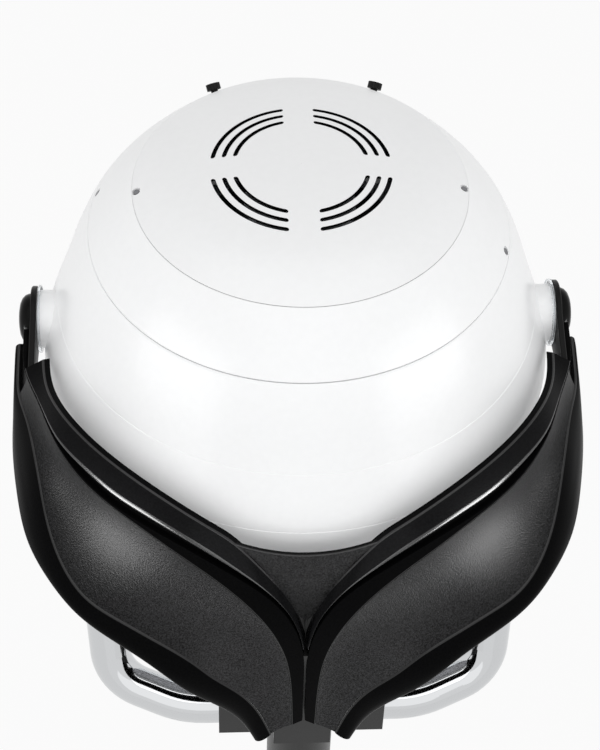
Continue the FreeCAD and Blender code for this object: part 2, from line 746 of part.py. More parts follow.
def make_baffle(cavity):
    """Plate under the fan with its mouth and a ring of air holes."""
    top = BAFFLE_Z + BAFFLE_THICKNESS
    baffle = upright(FAR / 2, BAFFLE_Z, top).common(cavity).cut(upright(BAFFLE_MOUTH_R, BAFFLE_Z, top))
    hole = rod(BAFFLE_HOLE_R, (BAFFLE_HOLE_RING_R, 0, BAFFLE_Z), (BAFFLE_HOLE_RING_R, 0, top))
    return cut_all(baffle, repeated(hole, BAFFLE_HOLE_COUNT, BAFFLE_HOLE_TURN))


def make_heater(liner_volume):
    """Mica cross with its hub, the heater coil and the thermal cut-out."""
    half_mica = MICA_THICKNESS / 2
    board = block(-MICA_REACH, MICA_REACH, -half_mica, half_mica, HEATER_Z - MICA_BELOW, BAFFLE_Z)
    boards = repeated(board, 6)[:3]
    cross = fuse_all(boards[0], boards[1:])
    hub_bore = MICA_HUB_R - MICA_HUB_WALL
    cross = cross.cut(upright(hub_bore, 0, BAFFLE_Z))
    hub_bottom = HEATER_Z - MICA_BELOW / 2
    cross = cross.fuse(pipe(MICA_HUB_R, hub_bore, hub_bottom, hub_bottom + MICA_HUB_HEIGHT))
    coil = Part.makeTorus(HEATER_RING_R, HEATER_COIL_R, Vector(0, 0, HEATER_Z), AXIS_Z)
    cutout = block(
        CUTOUT_X[0], CUTOUT_X[1], -CUTOUT_HALF_WIDTH, CUTOUT_HALF_WIDTH, BAFFLE_Z - CUTOUT_HEIGHT, BAFFLE_Z)
    return cross.cut(coil).cut(liner_volume), coil, cutout


def pivot_places():
    """X of the visor ear, the boss end and both faces of the strap."""
    ear_inner = RIM_LINE_R + VISOR_EAR_GAP
    ear_outer = ear_inner + VISOR_EAR_THICKNESS
    boss_end = ear_outer + VISOR_EAR_END_GAP
    strap_inner = boss_end + WASHER_THICKNESS
    return ear_inner, ear_outer, boss_end, strap_inner, strap_inner + STRAP_THICKNESS


def make_pivot(outer_hood):
    """Boss, washer, strap, pin and domed cap of the +X side, and the pin's bore."""
    ear_inner, ear_outer, boss_end, strap_inner, strap_outer = pivot_places()
    pin_bore = rod(PIVOT_PIN_R, (0, 0, 0), (FAR, 0, 0))
    free_bore = rod(PIVOT_PIN_R + RUNNING_CLEARANCE, (0, 0, 0), (FAR, 0, 0))
    boss = rod(BOSS_R, (BOSS_ROOT_X, 0, 0), (boss_end, 0, 0)).cut(outer_hood).cut(pin_bore)
    washer = rod(WASHER_R, (boss_end, 0, 0), (strap_inner, 0, 0)).cut(free_bore)
    half_width = STRAP_HALF_WIDTH
    strap = rod(STRAP_END_R, (strap_inner, 0, 0), (strap_outer, 0, 0))
    strap = strap.fuse(block(strap_inner, strap_outer, 0, STRAP_REACH, -half_width, half_width))
    upper_notch = block(0, FAR, STRAP_UPPER_NOTCH[0], FAR, STRAP_UPPER_NOTCH[1], FAR)
    lower_notch = block(0, FAR, STRAP_LOWER_NOTCH[0], FAR, -FAR, STRAP_LOWER_NOTCH[1])
    strap = strap.cut(upper_notch).cut(lower_notch).cut(free_bore)
    nut_start = strap_outer + PIN_NUT_GAP
    pin_end = nut_start + PIN_NUT_THICKNESS
    pin = rod(PIVOT_PIN_R, (PIN_ROOT_X, 0, 0), (pin_end, 0, 0))
    pin = pin.fuse(rod(PIN_NUT_R, (nut_start, 0, 0), (pin_end, 0, 0)))
    dome_height = CAP_DEPTH - CAP_SKIRT
    outline = [
        (0.0, strap_outer + CAP_HOLLOW_DEPTH), (CAP_HOLLOW_R, strap_outer + CAP_HOLLOW_DEPTH),
        (CAP_HOLLOW_R, strap_outer), (CAP_R, strap_outer),
    ]
    dome_steps = 8
    for step in range(dome_steps):
        turn = math.pi / 2 * step / dome_steps
        outline.append((CAP_R * math.cos(turn), strap_outer + CAP_SKIRT + dome_height * math.sin(turn)))
    outline.append((0.0, strap_outer + CAP_DEPTH))
    return boss, washer, strap, pin, turned(outline, AXIS_X), pin_bore


def make_visor():
    """Slice of a ball in front of the hood, cut flat where an ear sits on each pivot boss."""
    ear_inner, ear_outer = pivot_places()[:2]
    inner_rho = sweep_radius() + VISOR_GAP
    outer_rho = inner_rho + VISOR_THICKNESS

    def ball_point(rho, angle):
        return Vector(rho * math.cos(angle), rho * math.sin(angle), 0)

    def ball_arc(rho, start_x):
        start = math.acos(start_x / rho)
        middle = (start + math.pi / 2) / 2
        return [ball_point(rho, angle) for angle in (start, middle, math.pi / 2)]

    inner_points = ball_arc(inner_rho, ear_inner)
    outer_points = ball_arc(outer_rho, ear_outer)
    web_root = VISOR_EAR_R - VISOR_EAR_OVERLAP
    inner_root = Vector(ear_inner, web_root, 0)
    outer_root = Vector(ear_outer, web_root, 0)
    edges = [
        Part.makeLine(inner_root, inner_points[0]), Part.Arc(*inner_points).toShape(),
        Part.makeLine(inner_points[2], outer_points[2]), Part.Arc(*outer_points).toShape(),
        Part.makeLine(outer_points[0], outer_root), Part.makeLine(outer_root, inner_root),
    ]
    section = Part.Face(Part.Wire(Part.__sortEdges__(edges)))
    section.rotate(ORIGIN, AXIS_X, 180.0 + VISOR_TOP_ANGLE)
    half = section.revolve(ORIGIN, AXIS_X, VISOR_BOTTOM_ANGLE - VISOR_TOP_ANGLE)
    half = half.cut(Part.makeSphere(VISOR_SCALLOP_R, Vector(*VISOR_SCALLOP_PLACE)))
    half = half.fuse(tube(VISOR_EAR_R, BOSS_R + RUNNING_CLEARANCE, (ear_inner, 0, 0), (ear_outer, 0, 0)))
    return half.fuse(mirrored(half)).removeSplitter()


def strip_loft(rows, first=0, last=None):
    """Closed body through rows of corner points, each row a section.

    Every corner runs along a smooth curve from section to section, the faces
    between neighbouring corners are ruled and the two ends are flat.
    """
    if last is None:
        last = len(rows) - 1
    places = [float(index) for index in range(len(rows))]
    corner_count = len(rows[0])
    curves = []
    for corner in range(corner_count):
        curve = Part.BSplineCurve()
        curve.interpolate(Points=[row[corner] for row in rows], Parameters=places)
        curves.append(curve.toShape(float(first), float(last)))
    faces = []
    for corner in range(corner_count):
        faces.append(Part.makeRuledSurface(curves[corner], curves[(corner + 1) % corner_count]))
    for place in (first, last):
        corners = list(rows[place])
        faces.append(Part.Face(Part.makePolygon(corners + [corners[0]])))
    shell = Part.makeShell(faces)
    shell.sewShape()
    body = Part.makeSolid(shell)
    if body.Volume < 0:
        body.reverse()
    return body


def fork_shift(place):
    """How far a point of the fork moves outwards when the hood inside it grows."""
    return Vector(place).normalize().multiply(sweep_radius() - math.hypot(*FORK_CLEARS))


def fork_point(x, y, z):
    """Point of the fork, which keeps its distance from the hood that it carries."""
    place = Vector(x, y, z)
    return place.add(fork_shift(place))


def section_axes(index):
    """Ridge, direction across the leaf, outward direction and width at a station."""
    station = WING_STATIONS[index]
    ridge = fork_point(*station["ridge"])
    across = fork_point(*station["edge"]).sub(ridge)
    width = across.Length
    across.normalize()
    if index == 0:
        run = AXIS_Y
    elif index >= len(WING_STATIONS) - 2:
        run = Vector(0, 0, -1)
    else:
        run = Vector(*WING_STATIONS[index + 1]["ridge"]).sub(Vector(*WING_STATIONS[index - 1]["ridge"]))
    outward = run.cross(across).normalize()
    if outward.dot(ridge) < 0:
        outward = outward.multiply(-1)
    return ridge, across, outward, width


def leaf_points(index):
    """Outer surface points of the leaf panel and the recess floor under them."""
    station = WING_STATIONS[index]
    ridge, across, outward, width = section_axes(index)
    start = station["groove"] + station["lip"]
    stop = width - station["rim"]
    top = []
    for share, hollow in LEAF_HOLLOW:
        place = along(ridge, across, start + share * (stop - start))
        top.append(along(place, outward, -LEAF_SINK - hollow * station["dish"]))
    floor = [along(place, outward, -station["seat"]) for place in top]
    return top, floor


def wing_section(index):
    """Corner points of the wing body at a station."""
    station = WING_STATIONS[index]
    ridge, across, outward, width = section_axes(index)
    top, floor = leaf_points(index)
    groove = station["groove"]
    rim_start = width - station["rim"]
    under = -(station["dish"] + station["seat"] + WING_THICKNESS)

    def at(across_by, out_by):
        return along(along(ridge, across, across_by), outward, out_by)

    return [
        at(0.0, -RIDGE_DEPTH), at(0.0, GROOVE_STEP - RIDGE_DEPTH),
        at(groove, GROOVE_STEP - RIDGE_DEPTH), at(groove, -LEAF_SINK),
        top[0], floor[0], floor[1], floor[2], floor[3], floor[4], top[4],
        at(rim_start + RIM_CROWN_SHARE * station["rim"], RIM_CROWN),
        at(width - EDGE_ROUND, RIM_EDGE_SHARE * RIM_CROWN), at(width, -EDGE_ROUND),
        at(width - EDGE_BEVEL, -EDGE_THICKNESS), at(rim_start, under), at(rim_start / 2, under),
        at(groove + GROOVE_WALL, min(under, -RIDGE_DEPTH - GROOVE_FLOOR)),
    ]


def arm_section(index):
    """Corner points of the inner arm at a station."""
    if index == 1:
        top = fork_point(*ARM_TOP[0])
        inner_x = top.x - LUG_LEAN
        outer_x = pivot_places()[3]
        return [
            top, Vector(outer_x, top.y, LUG_TOP_Z), Vector(outer_x, top.y, LUG_BOTTOM_Z),
            Vector(inner_x, top.y, LUG_BOTTOM_Z), Vector(inner_x, top.y, LUG_INNER_Z),
        ]
    ridge, across, outward, width = section_axes(index)
    if index - 1 < len(ARM_TOP):
        top = fork_point(*ARM_TOP[index - 1])
        inward = Vector(top).normalize()
    else:
        end_across, end_out = ARM_ENDS[index - 1 - len(ARM_TOP)]
        top = along(along(ridge, across, end_across), outward, end_out)
        inward = outward
    return [
        top, ridge, along(ridge, outward, -RIDGE_DEPTH), along(ridge, outward, -ARM_DEPTH),
        along(top, inward, -ARM_THICKNESS),
    ]


def clear_of_middle(rows):
    """Keep every section point on the +X side of the seam, and the last section level."""
    rows = [[Vector(max(point.x, SEAM_HALF_GAP), point.y, point.z) for point in row] for row in rows]
    rows[-1] = [Vector(point.x, point.y, NECK_END_Z) for point in rows[-1]]
    return rows


def make_fork_side(strap, yoke_solid):
    """Wing, leaf panel and inner arm of the +X side."""
    stations = range(len(WING_STATIONS))
    wing = strip_loft(clear_of_middle([wing_section(index) for index in stations]))
    leaf_rows = clear_of_middle([leaf_points(index)[0] + leaf_points(index)[1][::-1] for index in stations])
    leaf = strip_loft(leaf_rows, LEAF_FIRST_STATION, len(leaf_rows) - 1)
    arm = strip_loft([arm_section(index) for index in range(1, len(ARM_TOP) + len(ARM_ENDS) + 1)])
    arm = arm.cut(block(-FAR, SEAM_HALF_GAP, -FAR, FAR, -FAR, FAR))
    wing = wing.cut(strap).cut(yoke_solid)
    return wing, leaf, max(arm.cut(strap).cut(wing).Solids, key=lambda solid: solid.Volume)


def make_centre_plate(arm):
    """Triangular plate between the two arms, bulged along its top edge."""
    corners = [(-x, y, z) for x, y, z in PLATE_LOW[:0:-1]] + list(PLATE_LOW)
    rows = []
    for x, low_y, low_z in reversed(corners):
        share = 1.0 - (x / PLATE_HALF_WIDTH) ** 2
        top = Vector(x, PLATE_TOP[0] + PLATE_TOP_BULGE * share, PLATE_TOP[1] - PLATE_TOP_DIP * share)
        low = Vector(x, low_y, low_z)
        top_back, low_back = [Vector(0, -PLATE_THICKNESS, rise) for rise in PLATE_BACK_RISE]
        row = [top, low, low.add(low_back), top.add(top_back)]
        shift = fork_shift(top)
        rows.append([point.add(shift) for point in row])
    plate = strip_loft(rows).cut(arm).cut(mirrored(arm))
    return max(plate.Solids, key=lambda solid: solid.Volume)


def bent_path(points, radii):
    """Wire of straight runs through points with an arc of each radius at the corners."""
    edges = []
    here = points[0]
    for corner, radius, after in zip(points[1:-1], radii, points[2:]):
        back = here.sub(corner).normalize()
        ahead = after.sub(corner).normalize()
        half_turn = back.getAngle(ahead) / 2.0
        first = along(corner, back, radius / math.tan(half_turn))
        last = along(corner, ahead, radius / math.tan(half_turn))
        bisector = Vector(back).add(ahead).normalize()
        middle = along(corner, bisector, radius / math.sin(half_turn) - radius)
        edges.append(Part.LineSegment(here, first).toShape())
        edges.append(Part.Arc(first, middle, last).toShape())
        here = last
    edges.append(Part.LineSegment(here, points[-1]).toShape())
    return Part.Wire(edges)


def make_yoke():
    """Bent tube under the wings, and the same tube without its bore."""
    right = [fork_point(*corner) for corner in YOKE_CORNERS]
    points = [Vector(-corner.x, corner.y, corner.z) for corner in right] + right[::-1]
    path = bent_path(points, YOKE_BENDS + YOKE_BENDS[::-1])
    run = points[1].sub(points[0])

    def swept(radius):
        ring = Part.Wire(Part.makeCircle(radius, points[0], run))
        return path.makePipeShell([ring], True, False)

    solid = swept(YOKE_TUBE_R)
    print("yoke volume", solid.Volume, "section times length", math.pi * YOKE_TUBE_R ** 2 * path.Length)
    return solid.cut(swept(YOKE_TUBE_R - YOKE_TUBE_WALL)), solid


def make_stem(yoke_solid, neighbours):
    """Socket on the column with the webs that reach up behind the wings."""
    y = COLUMN_TO_HOOD
    stem = rod(STEM_R, (0, y, STEM_BOTTOM_Z), (0, y, STEM_TOP_Z))
    for half_width, y0, y1, z0, z1 in STEM_WEBS:
        stem = stem.fuse(block(-half_width, half_width, y0, y1, z0, z1))
    stem = stem.cut(yoke_solid)
    stem = stem.cut(rod(SPIGOT_R + RUNNING_CLEARANCE, (0, y, STEM_BOTTOM_Z), (0, y, STEM_BORE_TOP_Z)))
    stem = cut_all(stem, neighbours)
    return max(stem.Solids, key=lambda solid: solid.Volume)


def make_head():
    """Every piece of the hood and the fork, drawn round the tilt axis."""
    pieces = {}
    outer_hood = hood_volume(0.0)
    cavity = hood_volume(SHELL_WALL)
    cap = cut_all(wall(cap_edge(0.0), cap_edge(SHELL_WALL)), vent_slots())
    upper = wall(side_edge(0.0, 0, 1), side_edge(SHELL_WALL, 0, 1))
    last_ring = len(side_profile(0.0)) - 1
    lower = wall(side_edge(0.0, 1, last_ring), side_edge(SHELL_WALL, 1, last_ring))
    lower = lower.common(rim_slab(-FAR, 0.0))

    cap_screws, side_screws = screw_places()
    cap = cut_all(cap, [screw_recess(*place) for place in cap_screws])
    upper = cut_all(upper, [screw_recess(*place) for place in side_screws])
    screws = [screw_head(*place) for place in cap_screws + side_screws]

    liner, liner_inside, liner_volume = make_liner()
    trim = hood_volume(-RIM_TRIM_PROUD).common(rim_slab(0.0, RIM_TRIM_HEIGHT)).cut(liner_inside)

    knob, knob_bore, unit = make_knob()
    knob_bores = [knob_bore, mirrored(knob_bore)]
    panel, housing, rocker, lamp, openings = make_controls(outer_hood)
    boss, washer, strap, pin, dome, pin_bore = make_pivot(outer_hood)

    pieces["hood_top_cap"] = cut_all(cap, knob_bores)
    pieces["hood_upper_shell"] = cut_all(upper, knob_bores)
    pieces["hood_lower_shell"] = cut_all(lower, list(openings) + [pin_bore, mirrored(pin_bore)])
    pieces["hood_rim_trim"] = trim
    pieces["hood_inner_liner"] = liner
    pieces["hood_shell_screws"] = Part.makeCompound(screws)
    pieces["control_panel"] = panel
    pieces["power_switch_housing"] = housing
    pieces["power_rocker"] = rocker
    pieces["pilot_lamp"] = lamp
    pieces["timer_knob"] = knob
    pieces["heat_knob"] = mirrored(knob)
    pieces["timer_unit"] = unit
    pieces["heat_regulator"] = mirrored(unit)
    pieces["fan_motor"], pieces["fan_shaft"], pieces["fan_impeller"] = make_fan()
    pieces["motor_bracket"] = make_bracket(cavity)
    pieces["air_baffle"] = make_baffle(cavity)
    pieces["heater_frame"], pieces["heater_coil"], pieces["thermal_cutout"] = make_heater(liner_volume)
    pieces["visor"] = make_visor()

    yoke, yoke_solid = make_yoke()
    wing, leaf, arm = make_fork_side(strap, yoke_solid)
    one_side = {
        "strap": strap, "fork_arm": arm, "fork_wing": wing, "leaf_panel": leaf,
        "pivot_boss": boss, "pivot_pin": pin, "pivot_cap": dome,
    }
    for name, shape in one_side.items():
        pieces[name + "_left"] = shape
        pieces[name + "_right"] = mirrored(shape)
    pieces["pivot_washers"] = Part.makeCompound([washer, mirrored(washer)])
    pieces["fork_centre_plate"] = make_centre_plate(arm)
    pieces["fork_tube_yoke"] = yoke
    neighbours = []
    for shape in (wing, arm, leaf):
        neighbours += [shape, mirrored(shape)]
    pieces["fork_stem"] = make_stem(yoke_solid, neighbours)
    return pieces


def make_column():
    """Telescopic column with its swivel, collar, clamp screw and cord gland."""
    stem_foot = PIVOT_HEIGHT + STEM_BOTTOM_Z
    tube_top = stem_foot - SWIVEL_HEIGHT + SWIVEL_SOCKET
    inner_tube = pipe(INNER_TUBE_R, INNER_TUBE_R - INNER_TUBE_WALL, INNER_TUBE_BOTTOM, tube_top)
    swivel = upright(SWIVEL_R, stem_foot - SWIVEL_HEIGHT, stem_foot).cut(inner_tube)
    spigot_top = PIVOT_HEIGHT + STEM_BORE_TOP_Z - SPIGOT_END_GAP
    swivel = swivel.fuse(upright(SPIGOT_R, stem_foot - SPIGOT_ROOT, spigot_top))

    tube_bore = OUTER_TUBE_R - OUTER_TUBE_WALL
    outer_tube = pipe(OUTER_TUBE_R, tube_bore, OUTER_TUBE_BOTTOM, OUTER_TUBE_TOP)
    gland_end = tube_bore + GLAND_LENGTH
    gland_neck = rod(GLAND_NECK_R, (0, tube_bore, GLAND_Z), (0, gland_end, GLAND_Z))
    gland_flange = rod(GLAND_FLANGE_R, (0, tube_bore, GLAND_Z), (0, OUTER_TUBE_R + GLAND_FLANGE, GLAND_Z))
    gland = gland_neck.fuse(gland_flange.cut(upright(OUTER_TUBE_R, 0, OUTER_TUBE_TOP)))
    gland = gland.cut(rod(GLAND_BORE_R, (0, 0, GLAND_Z), (0, gland_end, GLAND_Z)))
    outer_tube = outer_tube.cut(rod(GLAND_NECK_R, (0, 0, GLAND_Z), (0, gland_end, GLAND_Z)))

    bush_bore = INNER_TUBE_R + RUNNING_CLEARANCE
    flange_top = OUTER_TUBE_TOP + BUSH_FLANGE
    bush = pipe(tube_bore, bush_bore, OUTER_TUBE_TOP - BUSH_LENGTH, OUTER_TUBE_TOP)
    bush = bush.fuse(pipe(OUTER_TUBE_R, bush_bore, OUTER_TUBE_TOP, flange_top))
    collar_bottom = OUTER_TUBE_TOP - COLLAR_HEIGHT
    collar = pipe(COLLAR_R, OUTER_TUBE_R, collar_bottom, flange_top)
    collar = collar.fuse(pipe(COLLAR_R, bush_bore + COLLAR_LIP_GAP, flange_top, flange_top + COLLAR_LIP))
    clamp_z = collar_bottom + COLLAR_HEIGHT / 2
    clamp_boss = rod(CLAMP_BOSS_R, (0, 0, clamp_z), (0, CLAMP_BOSS_END, clamp_z))
    collar = collar.fuse(clamp_boss.cut(upright(OUTER_TUBE_R, 0, flange_top)))
    collar = collar.cut(rod(CLAMP_SCREW_R + RUNNING_CLEARANCE, (0, 0, clamp_z), (0, FAR, clamp_z)))

    knob_start = CLAMP_BOSS_END + CLAMP_KNOB_GAP
    knob_end = knob_start + CLAMP_KNOB_HEIGHT
    clamp_knob = rod(CLAMP_SCREW_R, (0, OUTER_TUBE_R + CLAMP_TIP_GAP, clamp_z), (0, knob_end, clamp_z))
    clamp_knob = clamp_knob.fuse(rod(CLAMP_KNOB_R, (0, knob_start, clamp_z), (0, knob_end, clamp_z)))
    bite_x = CLAMP_KNOB_R + CLAMP_BITE_R / 2
    for index in range(CLAMP_BITE_COUNT):
        bite = rod(CLAMP_BITE_R, (bite_x, knob_start, clamp_z), (bite_x, knob_end, clamp_z))
        bite.rotate(Vector(0, 0, clamp_z), AXIS_Y, 360.0 / CLAMP_BITE_COUNT * index)
        clamp_knob = clamp_knob.cut(bite)
    return {
        "column_inner_tube": inner_tube, "swivel_collar": swivel, "column_outer_tube": outer_tube,
        "cord_gland": gland, "column_guide_bush": bush, "height_collar": collar,
        "height_clamp_knob": clamp_knob,
    }


def make_base():
    """Star base with a castor socket at the end of each leg, and the hub cover."""
    rings = []
    for reach, half_width, half_height, height in LEG_SECTIONS:
        centre = Vector(reach, 0, height)
        side = centre.add(Vector(0, half_width, 0))
        top = centre.add(Vector(0, 0, half_height))
        rings.append(Part.Wire(Part.Ellipse(side, top, centre).toShape()))
    leg = Part.makeLoft(rings, True)
    socket_top = LEG_END_Z + SOCKET_ABOVE
    leg = leg.fuse(rod(SOCKET_R, (LEG_REACH, 0, LEG_END_Z - SOCKET_BELOW), (LEG_REACH, 0, socket_top)))
    stem_bore = CASTOR_STEM_R + RUNNING_CLEARANCE
    bore_top = LEG_END_Z + CASTOR_STEM_TOP + CASTOR_STEM_GAP
    leg = leg.cut(rod(stem_bore, (LEG_REACH, 0, 0), (LEG_REACH, 0, bore_top)))
    base = fuse_all(turned(HUB_OUTLINE), repeated(leg, LEG_COUNT, 90.0))
    hub_top = HUB_OUTLINE[-1][1]
    base = base.cut(upright(OUTER_TUBE_R, OUTER_TUBE_BOTTOM, hub_top))
    neck_r = HUB_OUTLINE[-2][0]
    cover = pipe(COVER_R, OUTER_TUBE_R, hub_top, hub_top + COVER_TOP)
    cover = cover.fuse(pipe(COVER_R, neck_r, hub_top - COVER_SKIRT, hub_top))
    return base, cover


def make_castor():
    """Castor body and its pair of wheels, under the leg on the +X side."""
    head_top = LEG_END_Z - SOCKET_BELOW - CASTOR_HEAD_GAP
    axle_x = LEG_REACH - CASTOR_TRAIL
    half_gap = WHEEL_GAP / 2 - WHEEL_SIDE_GAP

    def crosswise(radius, half_width):
        return rod(radius, (axle_x, -half_width, WHEEL_R), (axle_x, half_width, WHEEL_R))

    head_bottom = head_top - CASTOR_HEAD_HEIGHT
    body = rod(CASTOR_STEM_R, (LEG_REACH, 0, head_bottom), (LEG_REACH, 0, LEG_END_Z + CASTOR_STEM_TOP))
    body = body.fuse(rod(CASTOR_HEAD_R, (LEG_REACH, 0, head_bottom), (LEG_REACH, 0, head_top)))
    body = body.fuse(crosswise(WHEEL_R - WHEEL_RIM, half_gap))
    web_top = head_bottom + CASTOR_HEAD_HEIGHT / 2
    body = body.fuse(block(axle_x, LEG_REACH + CASTOR_WEB_REACH, -half_gap, half_gap, WHEEL_R, web_top))
    guard_inner = WHEEL_R + GUARD_GAP
    guard_outer = guard_inner + GUARD_WALL
    guard = crosswise(guard_outer, GUARD_HALF_WIDTH).cut(crosswise(guard_inner, GUARD_HALF_WIDTH))
    rib_bore = WHEEL_R - WHEEL_RIM - CASTOR_RIB_SINK
    rib = crosswise(guard_inner, half_gap).cut(crosswise(rib_bore, half_gap))
    reach = block(
        axle_x - GUARD_FRONT, axle_x + GUARD_BACK, -GUARD_HALF_WIDTH, GUARD_HALF_WIDTH,
        WHEEL_R + GUARD_BOTTOM, head_top)
    body = body.fuse(rib.common(reach)).fuse(guard.common(reach))
    body = body.cut(crosswise(AXLE_R + RUNNING_CLEARANCE, FAR))
    wheels = crosswise(AXLE_R, WHEEL_GAP / 2 + AXLE_GRIP)
    for side in (-1, 1):
        near_y = side * WHEEL_GAP / 2
        far_y = side * (WHEEL_GAP / 2 + WHEEL_WIDTH)
        wheel = rod(WHEEL_R, (axle_x, near_y, WHEEL_R), (axle_x, far_y, WHEEL_R))
        dish_y = far_y - side * WHEEL_RECESS
        dish = rod(WHEEL_R - WHEEL_RIM, (axle_x, dish_y, WHEEL_R), (axle_x, far_y, WHEEL_R))
        wheels = wheels.fuse(wheel.cut(dish))
    return body, wheels


def make_stand():
    """Every piece of the column, base and castors, in place."""
    pieces = make_column()
    pieces["star_base"], pieces["base_cover"] = make_base()
    body, wheels = make_castor()
    for name, shape in (("castor_body", body), ("castor_wheels", wheels)):
        for index, copy in enumerate(repeated(shape, LEG_COUNT, 90.0)):
            pieces["%s_%d" % (name, index + 1)] = copy
    return pieces


def main():
    """Build every piece, move the head to its place and write one file per node."""
    os.makedirs("parts", exist_ok=True)
    head = make_head()
    for shape in head.values():
        shape.translate(Vector(0, -COLUMN_TO_HOOD, PIVOT_HEIGHT))
    for name, shape in {**head, **make_stand()}.items():
        shape.exportStep("parts/" + name + ".step")
        print(name, shape.isValid(), len(shape.Solids), round(shape.Volume / 1000.0, 1))


main()
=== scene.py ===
import json
import math
from collections import namedtuple

import bpy
import numpy as np
from bpy.props import FloatProperty, FloatVectorProperty, IntProperty, PointerProperty
from mathutils import Matrix, Vector


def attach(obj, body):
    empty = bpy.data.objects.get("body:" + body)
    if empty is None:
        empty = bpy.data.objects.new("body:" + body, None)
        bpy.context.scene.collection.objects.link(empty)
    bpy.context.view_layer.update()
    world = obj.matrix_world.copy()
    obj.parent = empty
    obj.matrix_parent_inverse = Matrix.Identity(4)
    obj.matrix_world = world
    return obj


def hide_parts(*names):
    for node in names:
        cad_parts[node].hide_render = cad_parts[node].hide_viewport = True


bl_info = {
    "name": "Hood hair dryer looks",
    "version": (1, 0, 0),
    "blender": (4, 5, 0),
    "location": "View3D > Sidebar > Dryer",
    "description": "Builds the finished surfaces of a hood hair dryer round its packed frame",
    "category": "Object",
}

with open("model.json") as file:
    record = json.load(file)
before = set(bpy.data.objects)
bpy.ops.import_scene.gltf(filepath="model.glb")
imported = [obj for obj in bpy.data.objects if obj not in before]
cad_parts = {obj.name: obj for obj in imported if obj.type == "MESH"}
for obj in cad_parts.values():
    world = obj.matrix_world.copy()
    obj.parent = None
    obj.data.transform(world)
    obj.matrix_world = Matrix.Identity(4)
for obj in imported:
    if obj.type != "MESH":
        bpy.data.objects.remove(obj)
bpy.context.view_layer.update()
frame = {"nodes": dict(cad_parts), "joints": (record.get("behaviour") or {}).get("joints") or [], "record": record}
JOINTS = {joint["name"]: joint for joint in frame["joints"]}
PIVOT = Vector(JOINTS["hood_tilt"]["pos_m"])
SIDES = {"left": 1, "right": -1}

# Meshes: how near two points are merged, the angle from which an edge stays sharp, and the
# most of a side that a rounded corner takes
MERGE_DISTANCE = 0.00001
SHARP_ANGLE = math.radians(35.0)
CORNER_SHARE = 0.45

# Hood outline, as radius and height of each ring from the tilt axis, and the heights of
# the sloping rim at the front and at the back
CAP_RINGS = ((0.0, 0.1745), (0.0708, 0.1696), (0.110, 0.1606), (0.134, 0.1508))
SIDE_RINGS = (
    (0.134, 0.1508), (0.171, 0.1071), (0.1998, 0.0335), (0.2145, -0.0204),
    (0.2132, -0.045), (0.2083, -0.070), (0.1986, -0.097), (0.191, -0.112),
)
CAP_RING, PARTING_RING, MOULD_RING, RIM_RING = 0, 1, 2, 3
RIM_FRONT_Z = -0.034
RIM_BACK_Z = -0.095

# Shell edges: how far a softened edge reaches, and how much of both sides its middle keeps
SHELL_EDGE = 0.0006
SHELL_EDGE_SHARE = 0.3

# Shell outlines: how far ahead and back their slope is read, the points along the upper and
# the lower one, those of the lower one once it is trimmed, and where a mould line has points,
# in halves of its width
SLOPE_REACH = 0.0005
UPPER_POINTS = 40
LOWER_POINTS = 160
TRIMMED_POINTS = 90
LINE_POINTS = (-2, -1, 0, 1, 2)

# Cap vents: radii of their rings, and the points across a slot in halves of its width
VENT_RADII = (0.0534, 0.0621, 0.0708)
SLOT_SHARES = (-1.0, -0.8, -0.4, 0.0, 0.4, 0.8, 1.0)

# Cap mesh: points along its outline, rings of points inside and outside the vents, radius of
# the first ring, and distances of the last ones from the edge
CAP_POINTS = 200
INNER_RINGS = 8
OUTER_RINGS = 22
CAP_MIDDLE = 0.0001
CAP_EDGE_STEPS = (0.0012, 0.0006, 0.0002)

# Faces round a quarter of the cap: beside each slot end and along the slot, and the widest
# angle that half a bridge takes on the rings near the middle
QUARTERS = 4
BRIDGE_STEPS = 5
SLOT_STEPS = 38
QUARTER_STEPS = BRIDGE_STEPS + SLOT_STEPS + BRIDGE_STEPS
WIDEST_BRIDGE = math.radians(38.0)

# Screw recesses: ring radius and height, lean from upright and places round the hood in
# degrees, then the size of each and how far its cutter stands out
CAP_RECESSES = (0.1306, 0.1524, 24.0, (3.0, 177.0))
SHELL_RECESSES = (0.1686, 0.1116, 52.0, (167.4, 270.0, 347.4))
RECESS_RADIUS = 0.0038
RECESS_DEPTH = 0.0023
CUTTER_TOP = 3 * RECESS_DEPTH
CUTTER_SIDES = 24

